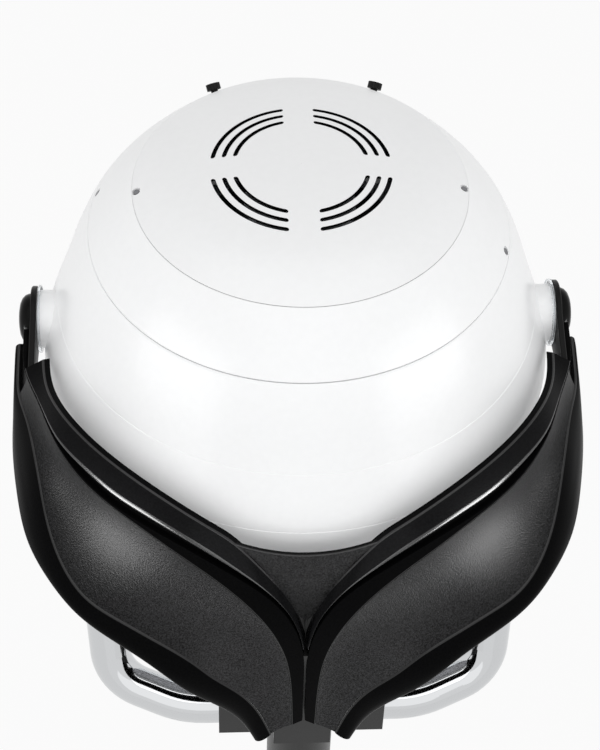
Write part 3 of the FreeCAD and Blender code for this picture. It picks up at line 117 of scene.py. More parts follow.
# Wing stations from the side pivot to the seam: ridge and edge points, then the
# widths of groove, lip and rim, and how deep the leaf panel is hollowed
WING_STATIONS = (
    ((0.2285, 0.0295, 0.013), (0.236, 0.0295, -0.015), 0.001, 0.001, 0.009, 0.0),
    ((0.226, 0.062, 0.006), (0.237, 0.060, -0.029), 0.001, 0.001, 0.012, 0.0005),
    ((0.213, 0.098, 0.007), (0.239, 0.096, -0.048), 0.001, 0.001, 0.035, 0.0015),
    ((0.198, 0.138, 0.009), (0.235, 0.133, -0.069), 0.0015, 0.001, 0.047, 0.004),
    ((0.176, 0.168, 0.006), (0.226, 0.168, -0.086), 0.006, 0.002, 0.039, 0.007),
    ((0.151, 0.192, 0.001), (0.208, 0.200, -0.097), 0.007, 0.002, 0.026, 0.008),
    ((0.123, 0.210, -0.006), (0.186, 0.225, -0.108), 0.007, 0.004, 0.021, 0.008),
    ((0.094, 0.224, -0.017), (0.161, 0.242, -0.118), 0.006, 0.008, 0.023, 0.008),
    ((0.062, 0.235, -0.035), (0.135, 0.254, -0.131), 0.005, 0.012, 0.025, 0.007),
    ((0.033, 0.245, -0.054), (0.111, 0.265, -0.146), 0.004, 0.017, 0.028, 0.006),
    ((0.0125, 0.255, -0.076), (0.092, 0.268, -0.165), 0.003, 0.020, 0.028, 0.005),
    ((0.002, 0.262, -0.112), (0.071, 0.268, -0.184), 0.001, 0.0185, 0.026, 0.0035),
    ((0.0006, 0.268, -0.155), (0.053, 0.268, -0.207), 0.0005, 0.014, 0.022, 0.002),
    ((0.0006, 0.272, -0.200), (0.041, 0.272, -0.231), 0.0004, 0.011, 0.018, 0.001),
)

# Both ends of a wing: how many of its last stations run straight down beside the seam, how far
# its tip reaches on past the first station, and half the gap kept at the seam
STRAIGHT_STATIONS = 2
WING_TIP_REACH = 0.007
SEAM_HALF = 0.0003

# Wing section, as places along it and heights from the line between ridge and edge: the groove's
# far side, the lip, the leaf's seat, the rim's foot, crown and outer edge, and the underside. Then
# the radius of each of its corners in that order, and which corners are glossy and wear the
# lighter edge colour, which is a painted highlight.
GROOVE_RISE = 0.0015
LIP_HEIGHT = -0.0004
SEAT_SHARES = (0.02, 0.25, 0.5, 0.75, 0.98)
SEAT_HEIGHT = -0.0028
RIM_FOOT_HEIGHT = 0.0003
RIM_CROWN = ((0.3, 0.0022), (0.65, 0.0024))
RIM_EDGE = ((0.002, 0.0004), (0.0, -0.0030), (0.002, -0.0055))
UNDERSIDE_DROP = 0.003
UNDERSIDE_MIDDLE = 0.5
GROOVE_BACK_REACH = 0.004
GROOVE_BACK_DROP = 0.0005
WING_RADII = (
    0.0005, 0.0025, 0.0010, 0.0008, 0.0, 0.0, 0.0, 0.0, 0.0, 0.0012, 0.006, 0.006, 0.003, 0.002,
    0.003, 0.008, 0.01, 0.002,
)
WING_CORNER_STEPS = 5
WING_POLISHED_PAINTED_HIGHLIGHT = (3, 9, 13)

# Leaf panel: the station that it starts at, the steps across its face, the face's height at both
# ends, its thickness, and its edge as reach inwards and height
LEAF_START = 1.25
LEAF_STEPS = 24
LEAF_HEIGHT = -0.0006
LEAF_THICKNESS = 0.0016
LEAF_EDGE = ((0.0004, -0.0022), (0.0, -0.0016), (0.0001, -0.0011), (0.0005, -0.0007))

# Inner arm: its top edge at stations 1 to 9, where that ends on stations 10 and 11 from the
# ridge, and the radii of its top and of its other corners
ARM_TOP = (
    (0.2105, 0.060, 0.015), (0.205, 0.095, 0.018), (0.188, 0.133, 0.025), (0.163, 0.164, 0.024),
    (0.134, 0.189, 0.019), (0.105, 0.207, 0.0095), (0.078, 0.219, -0.003), (0.057, 0.226, -0.0165),
    (0.034, 0.235, -0.041),
)
ARM_ENDS = ((-0.0019, -0.0123), (-0.0022, -0.0055))
ARM_TOP_RADIUS = 0.0011
ARM_RADIUS = 0.001
ARM_CORNER_STEPS = 6
# Arm corners that are glossy and wear the lighter edge colour, a painted highlight
ARM_POLISHED_PAINTED_HIGHLIGHT = (0, 1)

# The arm's ridge is rounder between its ends: from this station, over so many, by so much
RIDGE_SOFT_START = 2.0
RIDGE_SOFT_SPAN = 7.5
RIDGE_SOFTNESS = 0.005

# Centre plate between the arms: its lower border from the middle outwards, as X, depth and
# height, its top edge and how that bulges in the middle, and its reach under the arms
PLATE_LOW = ((0.0, 0.246, -0.083), (0.015, 0.242, -0.066), (0.036, 0.234, -0.043), (0.057, 0.2258, -0.0175))
PLATE_TOP = (0.226, -0.017)
PLATE_TOP_BULGE = (0.0045, -0.011)
PLATE_UNDER_ARMS = (0.0022, -0.009)
PLATE_THICKNESS = 0.0035
PLATE_ROWS = 37
PLATE_RADII = (0.0007, 0.0003, 0.0003, 0.0007)
PLATE_CORNER_STEPS = 3
# Plate corner that is glossy and wears the lighter edge colour, a painted highlight
PLATE_POLISHED_PAINTED_HIGHLIGHT = (0,)

# Side pivots: outlines of boss and dome, along X and from the tilt axis
BOSS_OUTLINE = (
    (0.200, 0.0005), (0.200, 0.0245), (0.2148, 0.0245), (0.2170, 0.0238), (0.2177, 0.0220), (0.2177, 0.0005),
)
DOME_OUTLINE = (
    (0.2236, 0.0005), (0.2236, 0.0208), (0.2243, 0.0215), (0.2262, 0.0214), (0.2290, 0.0203),
    (0.2315, 0.0178), (0.2332, 0.0140), (0.2341, 0.0090), (0.2344, 0.0040), (0.2344, 0.0005),
)
PIVOT_STEPS = 64

# Strap: where its faces stand along X, its round end about the tilt axis with the angles in
# degrees, and its tail behind the axis
STRAP_START = 0.2184
STRAP_END = 0.2234
STRAP_BEVEL = 0.0008
STRAP_END_RADIUS = 0.028
STRAP_END_TURNS = (58.0, 302.0)
STRAP_END_POINTS = 33
STRAP_TAIL = (
    (0.0195, -0.0200), (0.066, -0.0150), (0.071, -0.0020), (0.066, 0.0060), (0.0195, 0.0200),
)
STRAP_TAIL_RADII = (0.0, 0.004, 0.004, 0.004, 0.0)
STRAP_CORNER_STEPS = 4

# Unevenness of every finish: how fine and how detailed its clouds are, the detail of its specks,
# how far the gloss strays, the range of speck that tints the colour, and the grain's depth as a
# share of its size
CLOUD_SCALE = 9.0
CLOUD_DETAIL = 5.0
SPECK_DETAIL = 3.0
GLOSS_SPREAD = 0.15
SPECK_RANGE = (0.36, 0.64)
GRAIN_DEPTH = 0.2

# Finishes, by name. Those with no colour here take the one that the user sets.
FINISHES = {
    "shell_white": dict(
        roughness=0.30, coat=0.15, coat_roughness=0.10, grain=0.03, grain_size=0.006, mottle=0.006),
    "fork_satin": dict(roughness=0.24, specular=0.018, grain=0.06, grain_size=0.0012, mottle=0.3),
    # Glossy fork edges, whose lighter colour from the user's colours is a painted highlight
    "fork_edge": dict(
        roughness=0.24, specular=0.2, coat=0.2, coat_roughness=0.2, grain=0.03, grain_size=0.002,
        mottle=0.2),
    "leaf_grain": dict(roughness=0.36, specular=0.07, grain=1.0, grain_size=0.0013, mottle=0.98),
    "chrome_plate": dict(roughness=0.07, metallic=1.0, grain=0.02, wear=0.2),
    "stem_black": dict(colour=(0.010, 0.010, 0.010), roughness=0.35, specular=0.3, grain=0.2),
    "strap_black": dict(colour=(0.005, 0.005, 0.005), roughness=0.32, specular=0.08, grain=0.2),
    "cap_gloss": dict(colour=(0.003, 0.003, 0.003), roughness=0.20, specular=0.06, grain=0.03),
    # Near black for the inside of the cap and the walls of its vent slots: painted shade on the white moulding
    "vent_dark": dict(colour=(0.003, 0.003, 0.003), roughness=0.9, specular=0.0, grain=0.1),
    "screw_steel": dict(colour=(0.20, 0.20, 0.21), roughness=0.4, metallic=1.0, grain=0.1),
    "knob_black": dict(colour=(0.006, 0.006, 0.006), roughness=0.38, specular=0.15, grain=0.2),
    "visor_clear": dict(
        colour=(0.92, 0.95, 0.97), roughness=0.05, grain=0.02, grain_size=0.01, clearness=0.95, ior=1.49),
    "lamp_amber": dict(colour=(0.8, 0.25, 0.03), roughness=0.12, coat=0.5, grain=0.05),
    "liner_grey": dict(colour=(0.60, 0.60, 0.62), roughness=0.42, grain=0.15),
    "rim_grey": dict(colour=(0.42, 0.43, 0.45), roughness=0.5, grain=0.2),
    "panel_grey": dict(colour=(0.035, 0.035, 0.037), roughness=0.4, grain=0.3),
    "switch_black": dict(colour=(0.01, 0.01, 0.01), roughness=0.18, grain=0.05),
    "wheel_tread": dict(colour=(0.02, 0.02, 0.02), roughness=0.6, grain=0.3),
}

# Carried pieces: the stem has a duller finish than the wings, and a slot with no finish here is
# a plain moulding in the record's colour, which is written for a display
CARRIED_FINISHES = {"fork_satin": "stem_black"}
PLAIN_FINISH = dict(roughness=0.45, grain=0.15)
DISPLAY_GAMMA = 2.2

# Floor: half its width, its grey, its roughness, and how much of it glows white to the rays that
# show the background
FLOOR_REACH = 8.0
FLOOR_GREY = 0.9
FLOOR_ROUGHNESS = 0.8
FLOOR_GLOW = 0.9

# Strength of the light from all round
WORLD_STRENGTH = 0.55

# Lamps: name, place, width, power in watts, and the pieces that it lights if not all
LAMPS = (
    ("overhead", (0.0, 0.4, 3.9), 3.0, 23.0, None),
    ("behind", (0.0, 3.4, 3.2), 2.8, 7.0, None),
    ("front", (0.0, -3.0, 2.4), 2.0, 2.0, None),
    ("fill_left", (2.2, 1.3, 1.5), 2.0, 25.0, "lit_shells"),
    ("fill_right", (-2.2, 1.3, 1.5), 2.0, 25.0, "lit_shells"),
    ("sheen_left", (1.7, 1.1, 0.55), 1.1, 115.0, "lit_forks"),
    ("sheen_right", (-1.7, 1.1, 0.55), 1.1, 115.0, "lit_forks"),
    ("sheen_back", (0.0, 2.3, 0.75), 1.6, 26.0, "lit_forks"),
)
LIT_PIECES = {
    "lit_shells": ("upper_shell", "lower_shell", "cap", "boss_left", "boss_right"),
    "lit_forks": (
        "leaf_left", "leaf_right", "arm_left", "arm_right", "dome_left", "dome_right", "strap_plate_left",
        "strap_plate_right", "centre_plate"),
}

# Camera: the height above the tilt axis that it looks at, its distance, its angles, and its
# focal length and centre in pixels of the picture
CAMERA_RISE = 0.0414
CAMERA_DISTANCE = 1.5975
CAMERA_ELEVATION = math.radians(45.6)
CAMERA_YAW = math.radians(3.6)
CAMERA_ROLL = math.radians(1.88)
PICTURE_WIDTH = 600.0
PICTURE_HEIGHT = 750.0
FOCAL_PIXELS = 1910.0
CENTRE_PIXEL = (297.4, 281.5)
SENSOR_WIDTH = 36.0

# A fine station of the wing: its place among the stations, its ridge point, the directions
# across the wing and outwards, the reach from ridge to edge, and the widths of its section
Station = namedtuple("Station", "place ridge across outward reach widths")


class DryerSizes(bpy.types.PropertyGroup):
    """Sizes of the moulded pieces that a user would change."""
    shell_wall: FloatProperty(
        name="Shell wall", description="Thickness of the white shells", default=0.004, unit="LENGTH")
    parting_gap: FloatProperty(
        name="Parting gap", description="Gap between the two shells", default=0.0008, unit="LENGTH")
    cap_wall: FloatProperty(
        name="Cap wall", description="Thickness of the cap", default=0.0025, unit="LENGTH")
    line_width: FloatProperty(
        name="Mould line width", description="Width of the fine lines round the shell", default=0.0009,
        unit="LENGTH")
    line_depth: FloatProperty(
        name="Mould line depth", description="Depth of the fine lines round the shell", default=0.0004,
        unit="LENGTH")
    vent_width: FloatProperty(
        name="Vent width", description="Width of a vent slot", default=0.0036, unit="LENGTH")
    vent_bridge: FloatProperty(
        name="Vent bridge", description="Width between slots of one ring", default=0.024, unit="LENGTH")
    ridge_depth: FloatProperty(
        name="Ridge depth", description="Depth of the groove beside the ridge", default=0.009, unit="LENGTH")
    arm_depth: FloatProperty(
        name="Arm depth", description="Depth of the inner arm", default=0.0125, unit="LENGTH")
    arm_wall: FloatProperty(
        name="Arm wall", description="Thickness of the inner arm", default=0.006, unit="LENGTH")
    wing_wall: FloatProperty(
        name="Wing wall", description="Thickness of the wing", default=0.006, unit="LENGTH")
    round_steps: IntProperty(
        name="Steps round the hood", description="Faces round a turned shell", default=192, min=24)
    span_steps: IntProperty(
        name="Steps per span", description="Rows of faces between two wing stations", default=9, min=2)


class DryerColours(bpy.types.PropertyGroup):
    """Colours that a user would change, each under the name of its finish."""
    shell_white: FloatVectorProperty(
        name="Shell", description="White of the shells", subtype="COLOR", default=(0.89, 0.895, 0.90))
    fork_satin: FloatVectorProperty(
        name="Fork", description="Black of the fork", subtype="COLOR", default=(0.003, 0.003, 0.0032))
    # Edge colour lighter than the fork's black: a painted highlight on its glossy edges
    fork_edge: FloatVectorProperty(
        name="Fork edges", description="Polished edges of the fork, which catch the light", subtype="COLOR",
        default=(0.013, 0.013, 0.0132))
    leaf_grain: FloatVectorProperty(
        name="Leaf panel", description="Black of the grained panels", subtype="COLOR",
        default=(0.0045, 0.0045, 0.0047))
    chrome_plate: FloatVectorProperty(
        name="Chrome", description="Tint of the chrome plate", subtype="COLOR", default=(0.60, 0.61, 0.62))


def spline(points, places, wanted):
    """Smooth curve that passes through points at places, read at the wanted places."""
    points = np.array(points, float)
    places = np.array(places, float)
    wanted = np.clip(np.array(wanted, float), places[0], places[-1])
    gaps = np.diff(places)
    system = np.eye(len(places))
    pull = np.zeros_like(points)
    for index in range(1, len(places) - 1):
        before, after = gaps[index - 1], gaps[index]
        system[index, index - 1:index + 2] = before, 2 * (before + after), after
        rise_after = (points[index + 1] - points[index]) / after
        rise_before = (points[index] - points[index - 1]) / before
        pull[index] = 6 * (rise_after - rise_before)
    bend = np.linalg.solve(system, pull)
    span = np.clip(np.searchsorted(places, wanted, side="right") - 1, 0, len(gaps) - 1)
    width = gaps[span][:, None]
    left = wanted[:, None] - places[span][:, None]
    right = places[span + 1][:, None] - wanted[:, None]
    start, stop = points[span], points[span + 1]
    curve = (bend[span] * right ** 3 + bend[span + 1] * left ** 3) / (6 * width)
    curve += (start / width - bend[span] * width / 6) * right
    curve += (stop / width - bend[span + 1] * width / 6) * left
    return curve


def chord_places(points):
    """Distance along a run of points, for spline."""
    steps = np.linalg.norm(np.diff(np.array(points, float), axis=0), axis=1)
    return np.concatenate([[0.0], np.cumsum(steps)])


def hollow(share):
    """Depth of a hollow across its width: nothing at both ends and one in the middle."""
    return 4 * share * (1 - share)


def full_turn(steps):
    """Angles of equal steps round a circle."""
    return [2 * math.pi * step / steps for step in range(steps)]


def rounded(corners, radii, steps, closed=True):
    """A run of corner points with each corner rounded by a small curve."""
    corners = [np.array(corner, float) for corner in corners]
    count = len(corners)
    result = []
    for index, (corner, radius) in enumerate(zip(corners, radii)):
        if not closed and index in (0, count - 1):
            result.append(corner)
            continue
        ends = []
        for neighbour in (corners[index - 1], corners[(index + 1) % count]):
            length = max(np.linalg.norm(neighbour - corner), MERGE_DISTANCE)
            ends.append(corner + (neighbour - corner) * min(radius / length, CORNER_SHARE))
        first, last = ends
        for share in np.linspace(0.0, 1.0, steps + 1):
            result.append(first * (1 - share) ** 2 + corner * 2 * share * (1 - share) + last * share ** 2)
    return result


def corner_columns(corners, steps):
    """Columns of faces that round the given corners of a section from rounded()."""
    return {corner * (steps + 1) + step for corner in corners for step in range(steps)}


def add_piece(name, rows, closed_rows=False, end_caps=False, polished_painted_highlight=()):
    """Mesh through rows of points, with its second material on the given glossy columns, whose lighter colour is a
    painted highlight.
    """
    count = len(rows)
    width = len(rows[0])
    points = [tuple(point) for row in rows for point in row]
    faces = []
    marks = []
    for row in range(count if closed_rows else count - 1):
        here = row * width
        there = (row + 1) % count * width
        for column in range(width):
            following = (column + 1) % width
            faces.append((here + column, there + column, there + following, here + following))
            marks.append(int(column in polished_painted_highlight))
    if end_caps:
        faces.append(tuple(range(width)))
        faces.append(tuple(range((count - 1) * width, count * width))[::-1])
        marks += [0, 0]
    return add_mesh(name, points, faces, marks)


def add_mesh(name, points, faces, marks):
    """Smooth mesh object in the row frame with two material slots and no doubled points."""
    mesh = bpy.data.meshes.new(name)
    mesh.from_pydata(points, [], faces)
    mesh.materials.append(None)
    mesh.materials.append(None)
    mesh.polygons.foreach_set("material_index", marks)
    piece = bpy.data.objects.new(name, mesh)
    bpy.context.scene.collection.objects.link(piece)
    bpy.context.view_layer.objects.active = piece
    for other in bpy.context.selected_objects:
        other.select_set(False)
    piece.select_set(True)
    bpy.ops.object.mode_set(mode="EDIT")
    bpy.ops.mesh.select_all(action="SELECT")
    bpy.ops.mesh.remove_doubles(threshold=MERGE_DISTANCE)
    bpy.ops.mesh.normals_make_consistent(inside=False)
    bpy.ops.object.mode_set(mode="OBJECT")
    mesh.shade_smooth()
    mesh.set_sharp_from_angle(angle=SHARP_ANGLE)
    return piece


def dress(piece, body, node, slot, *finishes):
    """Let a piece ride on its body, stand for its node and wear its finishes."""
    for place, name in enumerate(finishes):
        piece.data.materials[place] = finish(name)
    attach(piece, body)
    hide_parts(node)


def finish(name):
    """The finish of that name, made the first time that a piece wears it."""
    values = dict(FINISHES[name])
    if "colour" not in values:
        values["colour"] = getattr(bpy.context.scene.dryer_colours, name)
    return finish_material(name, **values)


def finish_material(name, colour, roughness, metallic=0.0, coat=0.0, coat_roughness=0.04, specular=0.5,
                    grain=0.0, grain_size=0.001, mottle=0.0, wear=0.0, clearness=0.0, ior=1.5):
    """Procedural finish: a base colour with mottling, a fine grain and uneven gloss."""
    own_name = "finish_" + name
    if own_name in bpy.data.materials:
        return bpy.data.materials[own_name]
    material = bpy.data.materials.new(own_name)
    material.use_nodes = True
    tree = material.node_tree
    shader = tree.nodes["Principled BSDF"]
    shader.inputs["Base Color"].default_value = (*colour, 1.0)
    shader.inputs["Metallic"].default_value = metallic
    shader.inputs["Specular IOR Level"].default_value = specular
    shader.inputs["Coat Weight"].default_value = coat
    shader.inputs["Coat Roughness"].default_value = coat_roughness
    shader.inputs["Transmission Weight"].default_value = clearness
    shader.inputs["IOR"].default_value = ior
    place = tree.nodes.new("ShaderNodeTexCoord")
    cloud = tree.nodes.new("ShaderNodeTexNoise")
    cloud.inputs["Scale"].default_value = CLOUD_SCALE
    cloud.inputs["Detail"].default_value = CLOUD_DETAIL
    tree.links.new(place.outputs["Object"], cloud.inputs["Vector"])
    gloss = tree.nodes.new("ShaderNodeMapRange")
    gloss.inputs["To Min"].default_value = roughness * (1.0 - GLOSS_SPREAD - wear)
    gloss.inputs["To Max"].default_value = roughness * (1.0 + GLOSS_SPREAD + wear)
    tree.links.new(cloud.outputs["Fac"], gloss.inputs["Value"])
    tree.links.new(gloss.outputs["Result"], shader.inputs["Roughness"])
    speck = tree.nodes.new("ShaderNodeTexNoise")
    speck.inputs["Scale"].default_value = 1.0 / grain_size
    speck.inputs["Detail"].default_value = SPECK_DETAIL
    tree.links.new(place.outputs["Object"], speck.inputs["Vector"])
    if mottle:
        tint = tree.nodes.new("ShaderNodeMix")
        tint.data_type = "RGBA"
        for socket, strength in (("A", 1.0 - mottle), ("B", 1.0 + mottle)):
            tint.inputs[socket].default_value = (*[min(value * strength, 1.0) for value in colour], 1.0)
        spread = tree.nodes.new("ShaderNodeMapRange")
        spread.inputs["From Min"].default_value, spread.inputs["From Max"].default_value = SPECK_RANGE
        tree.links.new(speck.outputs["Fac"], spread.inputs["Value"])
        tree.links.new(spread.outputs["Result"], tint.inputs["Factor"])
        tree.links.new(tint.outputs["Result"], shader.inputs["Base Color"])
    bump = tree.nodes.new("ShaderNodeBump")
    bump.inputs["Strength"].default_value = grain
    bump.inputs["Distance"].default_value = grain_size * GRAIN_DEPTH
    tree.links.new(speck.outputs["Fac"], bump.inputs["Height"])
    tree.links.new(bump.outputs["Normal"], shader.inputs["Normal"])
    return material


def side_points(inset, count, first, last):
    """Hood side outline between two rings, moved inwards by inset."""
    rings = np.array(SIDE_RINGS)
    places = chord_places(rings)
    wanted = np.linspace(places[first], places[last], count)
    curve = spline(rings, places, wanted)
    ahead = spline(rings, places, wanted + SLOPE_REACH) - spline(rings, places, wanted - SLOPE_REACH)
    ahead /= np.linalg.norm(ahead, axis=1)[:, None]
    curve[:, 0] += inset * ahead[:, 1]
    curve[:, 1] -= inset * ahead[:, 0]
    return curve


def cap_points(count):
    """Cap outline from the middle to its edge, level in the middle."""
    mirrored = [(-radius, height) for radius, height in CAP_RINGS[:0:-1]]
    rings = np.array(mirrored + list(CAP_RINGS))
    places = chord_places(rings)
    wanted = np.linspace(places[len(mirrored)], places[-1], count)
    return np.maximum(spline(rings, places, wanted), 0.0)


def rim_height(depth):
    """Height of the sloping rim at a depth from the tilt axis."""
    reach = SIDE_RINGS[RIM_RING][0]
    return RIM_FRONT_Z + (RIM_BACK_Z - RIM_FRONT_Z) * (depth + reach) / (2 * reach)


def around(radius, height, turn):
    """Point on a level ring of the hood, in the row frame."""
    return (PIVOT.x + radius * math.cos(turn), PIVOT.y + radius * math.sin(turn), PIVOT.z + height)


def shell_outline(outer, inner):
    """Closed outline of a shell wall with both ends of its outer side softened."""
    corners = list(outer) + list(inner[::-1])
    result = []
    for index, corner in enumerate(corners):
        if index not in (0, len(outer) - 1):
            result.append(corner)
            continue
        before = corners[index - 1] - corner
        after = corners[index + 1] - corner
        before = before * SHELL_EDGE / np.linalg.norm(before)
        after = after * SHELL_EDGE / np.linalg.norm(after)
        result += [corner + before, corner + SHELL_EDGE_SHARE * (before + after), corner + after]
    return result


def cut_recesses(piece, recesses):
    """Cut round screw recesses into a piece."""
    radius, height, lean, turns = recesses
    tilt = math.radians(lean)
    for turn in np.radians(turns):
        outward = Vector((math.sin(tilt) * math.cos(turn), math.sin(tilt) * math.sin(turn), math.cos(tilt)))
        side = outward.orthogonal().normalized()
        other = outward.cross(side)
        middle = Vector(around(radius, height, turn))
        rows = []
        for rise in (-RECESS_DEPTH, CUTTER_TOP):
            rows.append([
                middle + outward * rise + (side * math.cos(step) + other * math.sin(step)) * RECESS_RADIUS
                for step in full_turn(CUTTER_SIDES)])
        cutter = add_piece("recess_cutter", rows, end_caps=True)
        bpy.context.view_layer.objects.active = piece
        cut = piece.modifiers.new("recess", "BOOLEAN")
        cut.operation = "DIFFERENCE"
        cut.solver = "EXACT"
        cut.object = cutter
        bpy.ops.object.modifier_apply(modifier=cut.name)
        bpy.data.meshes.remove(cutter.data)
    piece.data.set_sharp_from_angle(angle=SHARP_ANGLE)


class DRYER_OT_shells(bpy.types.Operator):
    """Upper and lower hood shells with their parting gap and mould lines"""
    bl_idname = "dryer.shells"
    bl_label = "Hood shells"

    def execute(self, context):
        sizes = context.scene.dryer_sizes
        turns = full_turn(sizes.round_steps)
        outline = shell_outline(
            side_points(0.0, UPPER_POINTS, CAP_RING, PARTING_RING),
            side_points(sizes.shell_wall, UPPER_POINTS, CAP_RING, PARTING_RING))
        rows = [[around(radius, height, turn) for radius, height in outline] for turn in turns]
        upper = add_piece("upper_shell", rows, closed_rows=True)
        cut_recesses(upper, SHELL_RECESSES)
        dress(upper, "hood", "hood_upper_shell", "shell_white", "shell_white")

        last = len(SIDE_RINGS) - 1
        outer = side_points(0.0, LOWER_POINTS, PARTING_RING, last)
        inner = side_points(sizes.shell_wall, LOWER_POINTS, PARTING_RING, last)
        rows = []
        for turn in turns:
            outline = shell_outline(
                self.trimmed(outer, turn, sizes, sizes.line_depth), self.trimmed(inner, turn, sizes, 0.0))
            rows.append([around(radius, height, turn) for radius, height in outline])
        lower = add_piece("lower_shell", rows, closed_rows=True)
        dress(lower, "hood", "hood_lower_shell", "shell_white", "shell_white")
        return {"FINISHED"}

    def trimmed(self, outline, turn, sizes, line_depth):
        """Outline cut at the parting gap and at the sloping rim, with its mould lines."""
        above_rim = outline[:, 1] - rim_height(outline[:, 0] * math.sin(turn))
        stop = np.argmax(above_rim < 0.0)
        before, after = outline[stop - 1], outline[stop]
        share = above_rim[stop - 1] / (above_rim[stop - 1] - above_rim[stop])
        kept = np.vstack([outline[:stop], before + (after - before) * share])
        kept[0, 1] -= sizes.parting_gap
        places = chord_places(kept)
        half_line = sizes.line_width / 2
        lines = [
            np.interp(-SIDE_RINGS[ring][1], -kept[:, 1], places) for ring in (MOULD_RING, RIM_RING)]
        near_lines = [middle + step * half_line for middle in lines for step in LINE_POINTS]
        wanted = np.sort(np.concatenate([np.linspace(0.0, places[-1], TRIMMED_POINTS), near_lines]))
        curve = spline(kept, places, wanted)
        for middle in lines:
            curve[:, 0] -= line_depth * np.clip(1 - np.abs(wanted - middle) / half_line, 0, 1)
        return curve


class DRYER_OT_cap(bpy.types.Operator):
    """Top cap with its vent slots, painted dark inside as shade, and its screw recesses"""
    bl_idname = "dryer.cap"
    bl_label = "Top cap"

    def execute(self, context):
        sizes = context.scene.dryer_sizes
        half = sizes.vent_width / 2
        radii = self.ring_radii(half)
        heights = np.interp(radii, *cap_points(CAP_POINTS).T)
        points = []
        for radius, height in zip(radii, heights):
            for quarter in full_turn(QUARTERS):
                for turn in self.quarter_turns(radius, half, sizes.vent_bridge / 2):
                    points.append(around(radius, height, turn + quarter))
        width = QUARTERS * QUARTER_STEPS
        faces = []
        for row, (inner, outer) in enumerate(zip(radii, radii[1:])):
            in_slot = min(abs((inner + outer) / 2 - middle) for middle in VENT_RADII) < half
            here = row * width
            there = here + width
            for column in range(width):
                if in_slot and BRIDGE_STEPS <= column % QUARTER_STEPS < BRIDGE_STEPS + SLOT_STEPS:
                    continue
                following = (column + 1) % width
                faces.append((here + column, there + column, there + following, here + following))
        cap = add_mesh("cap", points, faces, [0] * len(faces))
        wall = cap.modifiers.new("wall", "SOLIDIFY")
        wall.thickness = sizes.cap_wall
        wall.offset = -1.0
        # The inside and the slot walls take the near black finish, which is painted shade
        wall.material_offset = 1
        wall.material_offset_rim = 1
        bpy.ops.object.modifier_apply(modifier=wall.name)
        cut_recesses(cap, CAP_RECESSES)
        dress(cap, "hood", "hood_top_cap", "shell_white", "shell_white", "vent_dark")
        return {"FINISHED"}

    def ring_radii(self, half):
        """Radii of the rings of points, close together across the slots and at the edge."""
        edge = CAP_RINGS[-1][0]
        inside = np.linspace(0.0, VENT_RADII[0] - half, INNER_RINGS)[1:-1]
        slots = [middle + share * half for middle in VENT_RADII for share in SLOT_SHARES]
        outside = np.linspace(VENT_RADII[-1] + half, edge - CAP_EDGE_STEPS[0], OUTER_RINGS)[1:]
        at_edge = [edge - step for step in CAP_EDGE_STEPS[1:]]
        return [CAP_MIDDLE, *inside, *slots, *outside, *at_edge]

    def quarter_turns(self, radius, half, bridge):
        """Angles round a quarter, gathered at both ends of the slots."""
        across = min(abs(radius - middle) for middle in VENT_RADII)
        reach = bridge + half - math.sqrt(max(half ** 2 - across ** 2, 0.0))
        start = min(math.asin(min(reach / radius, 1.0)), WIDEST_BRIDGE)
        stop = math.pi / 2 - start
        turns = [start * step / BRIDGE_STEPS for step in range(BRIDGE_STEPS)]
        turns += [start + (stop - start) * step / SLOT_STEPS for step in range(SLOT_STEPS)]
        turns += [stop + start * step / BRIDGE_STEPS for step in range(BRIDGE_STEPS)]
        return turns


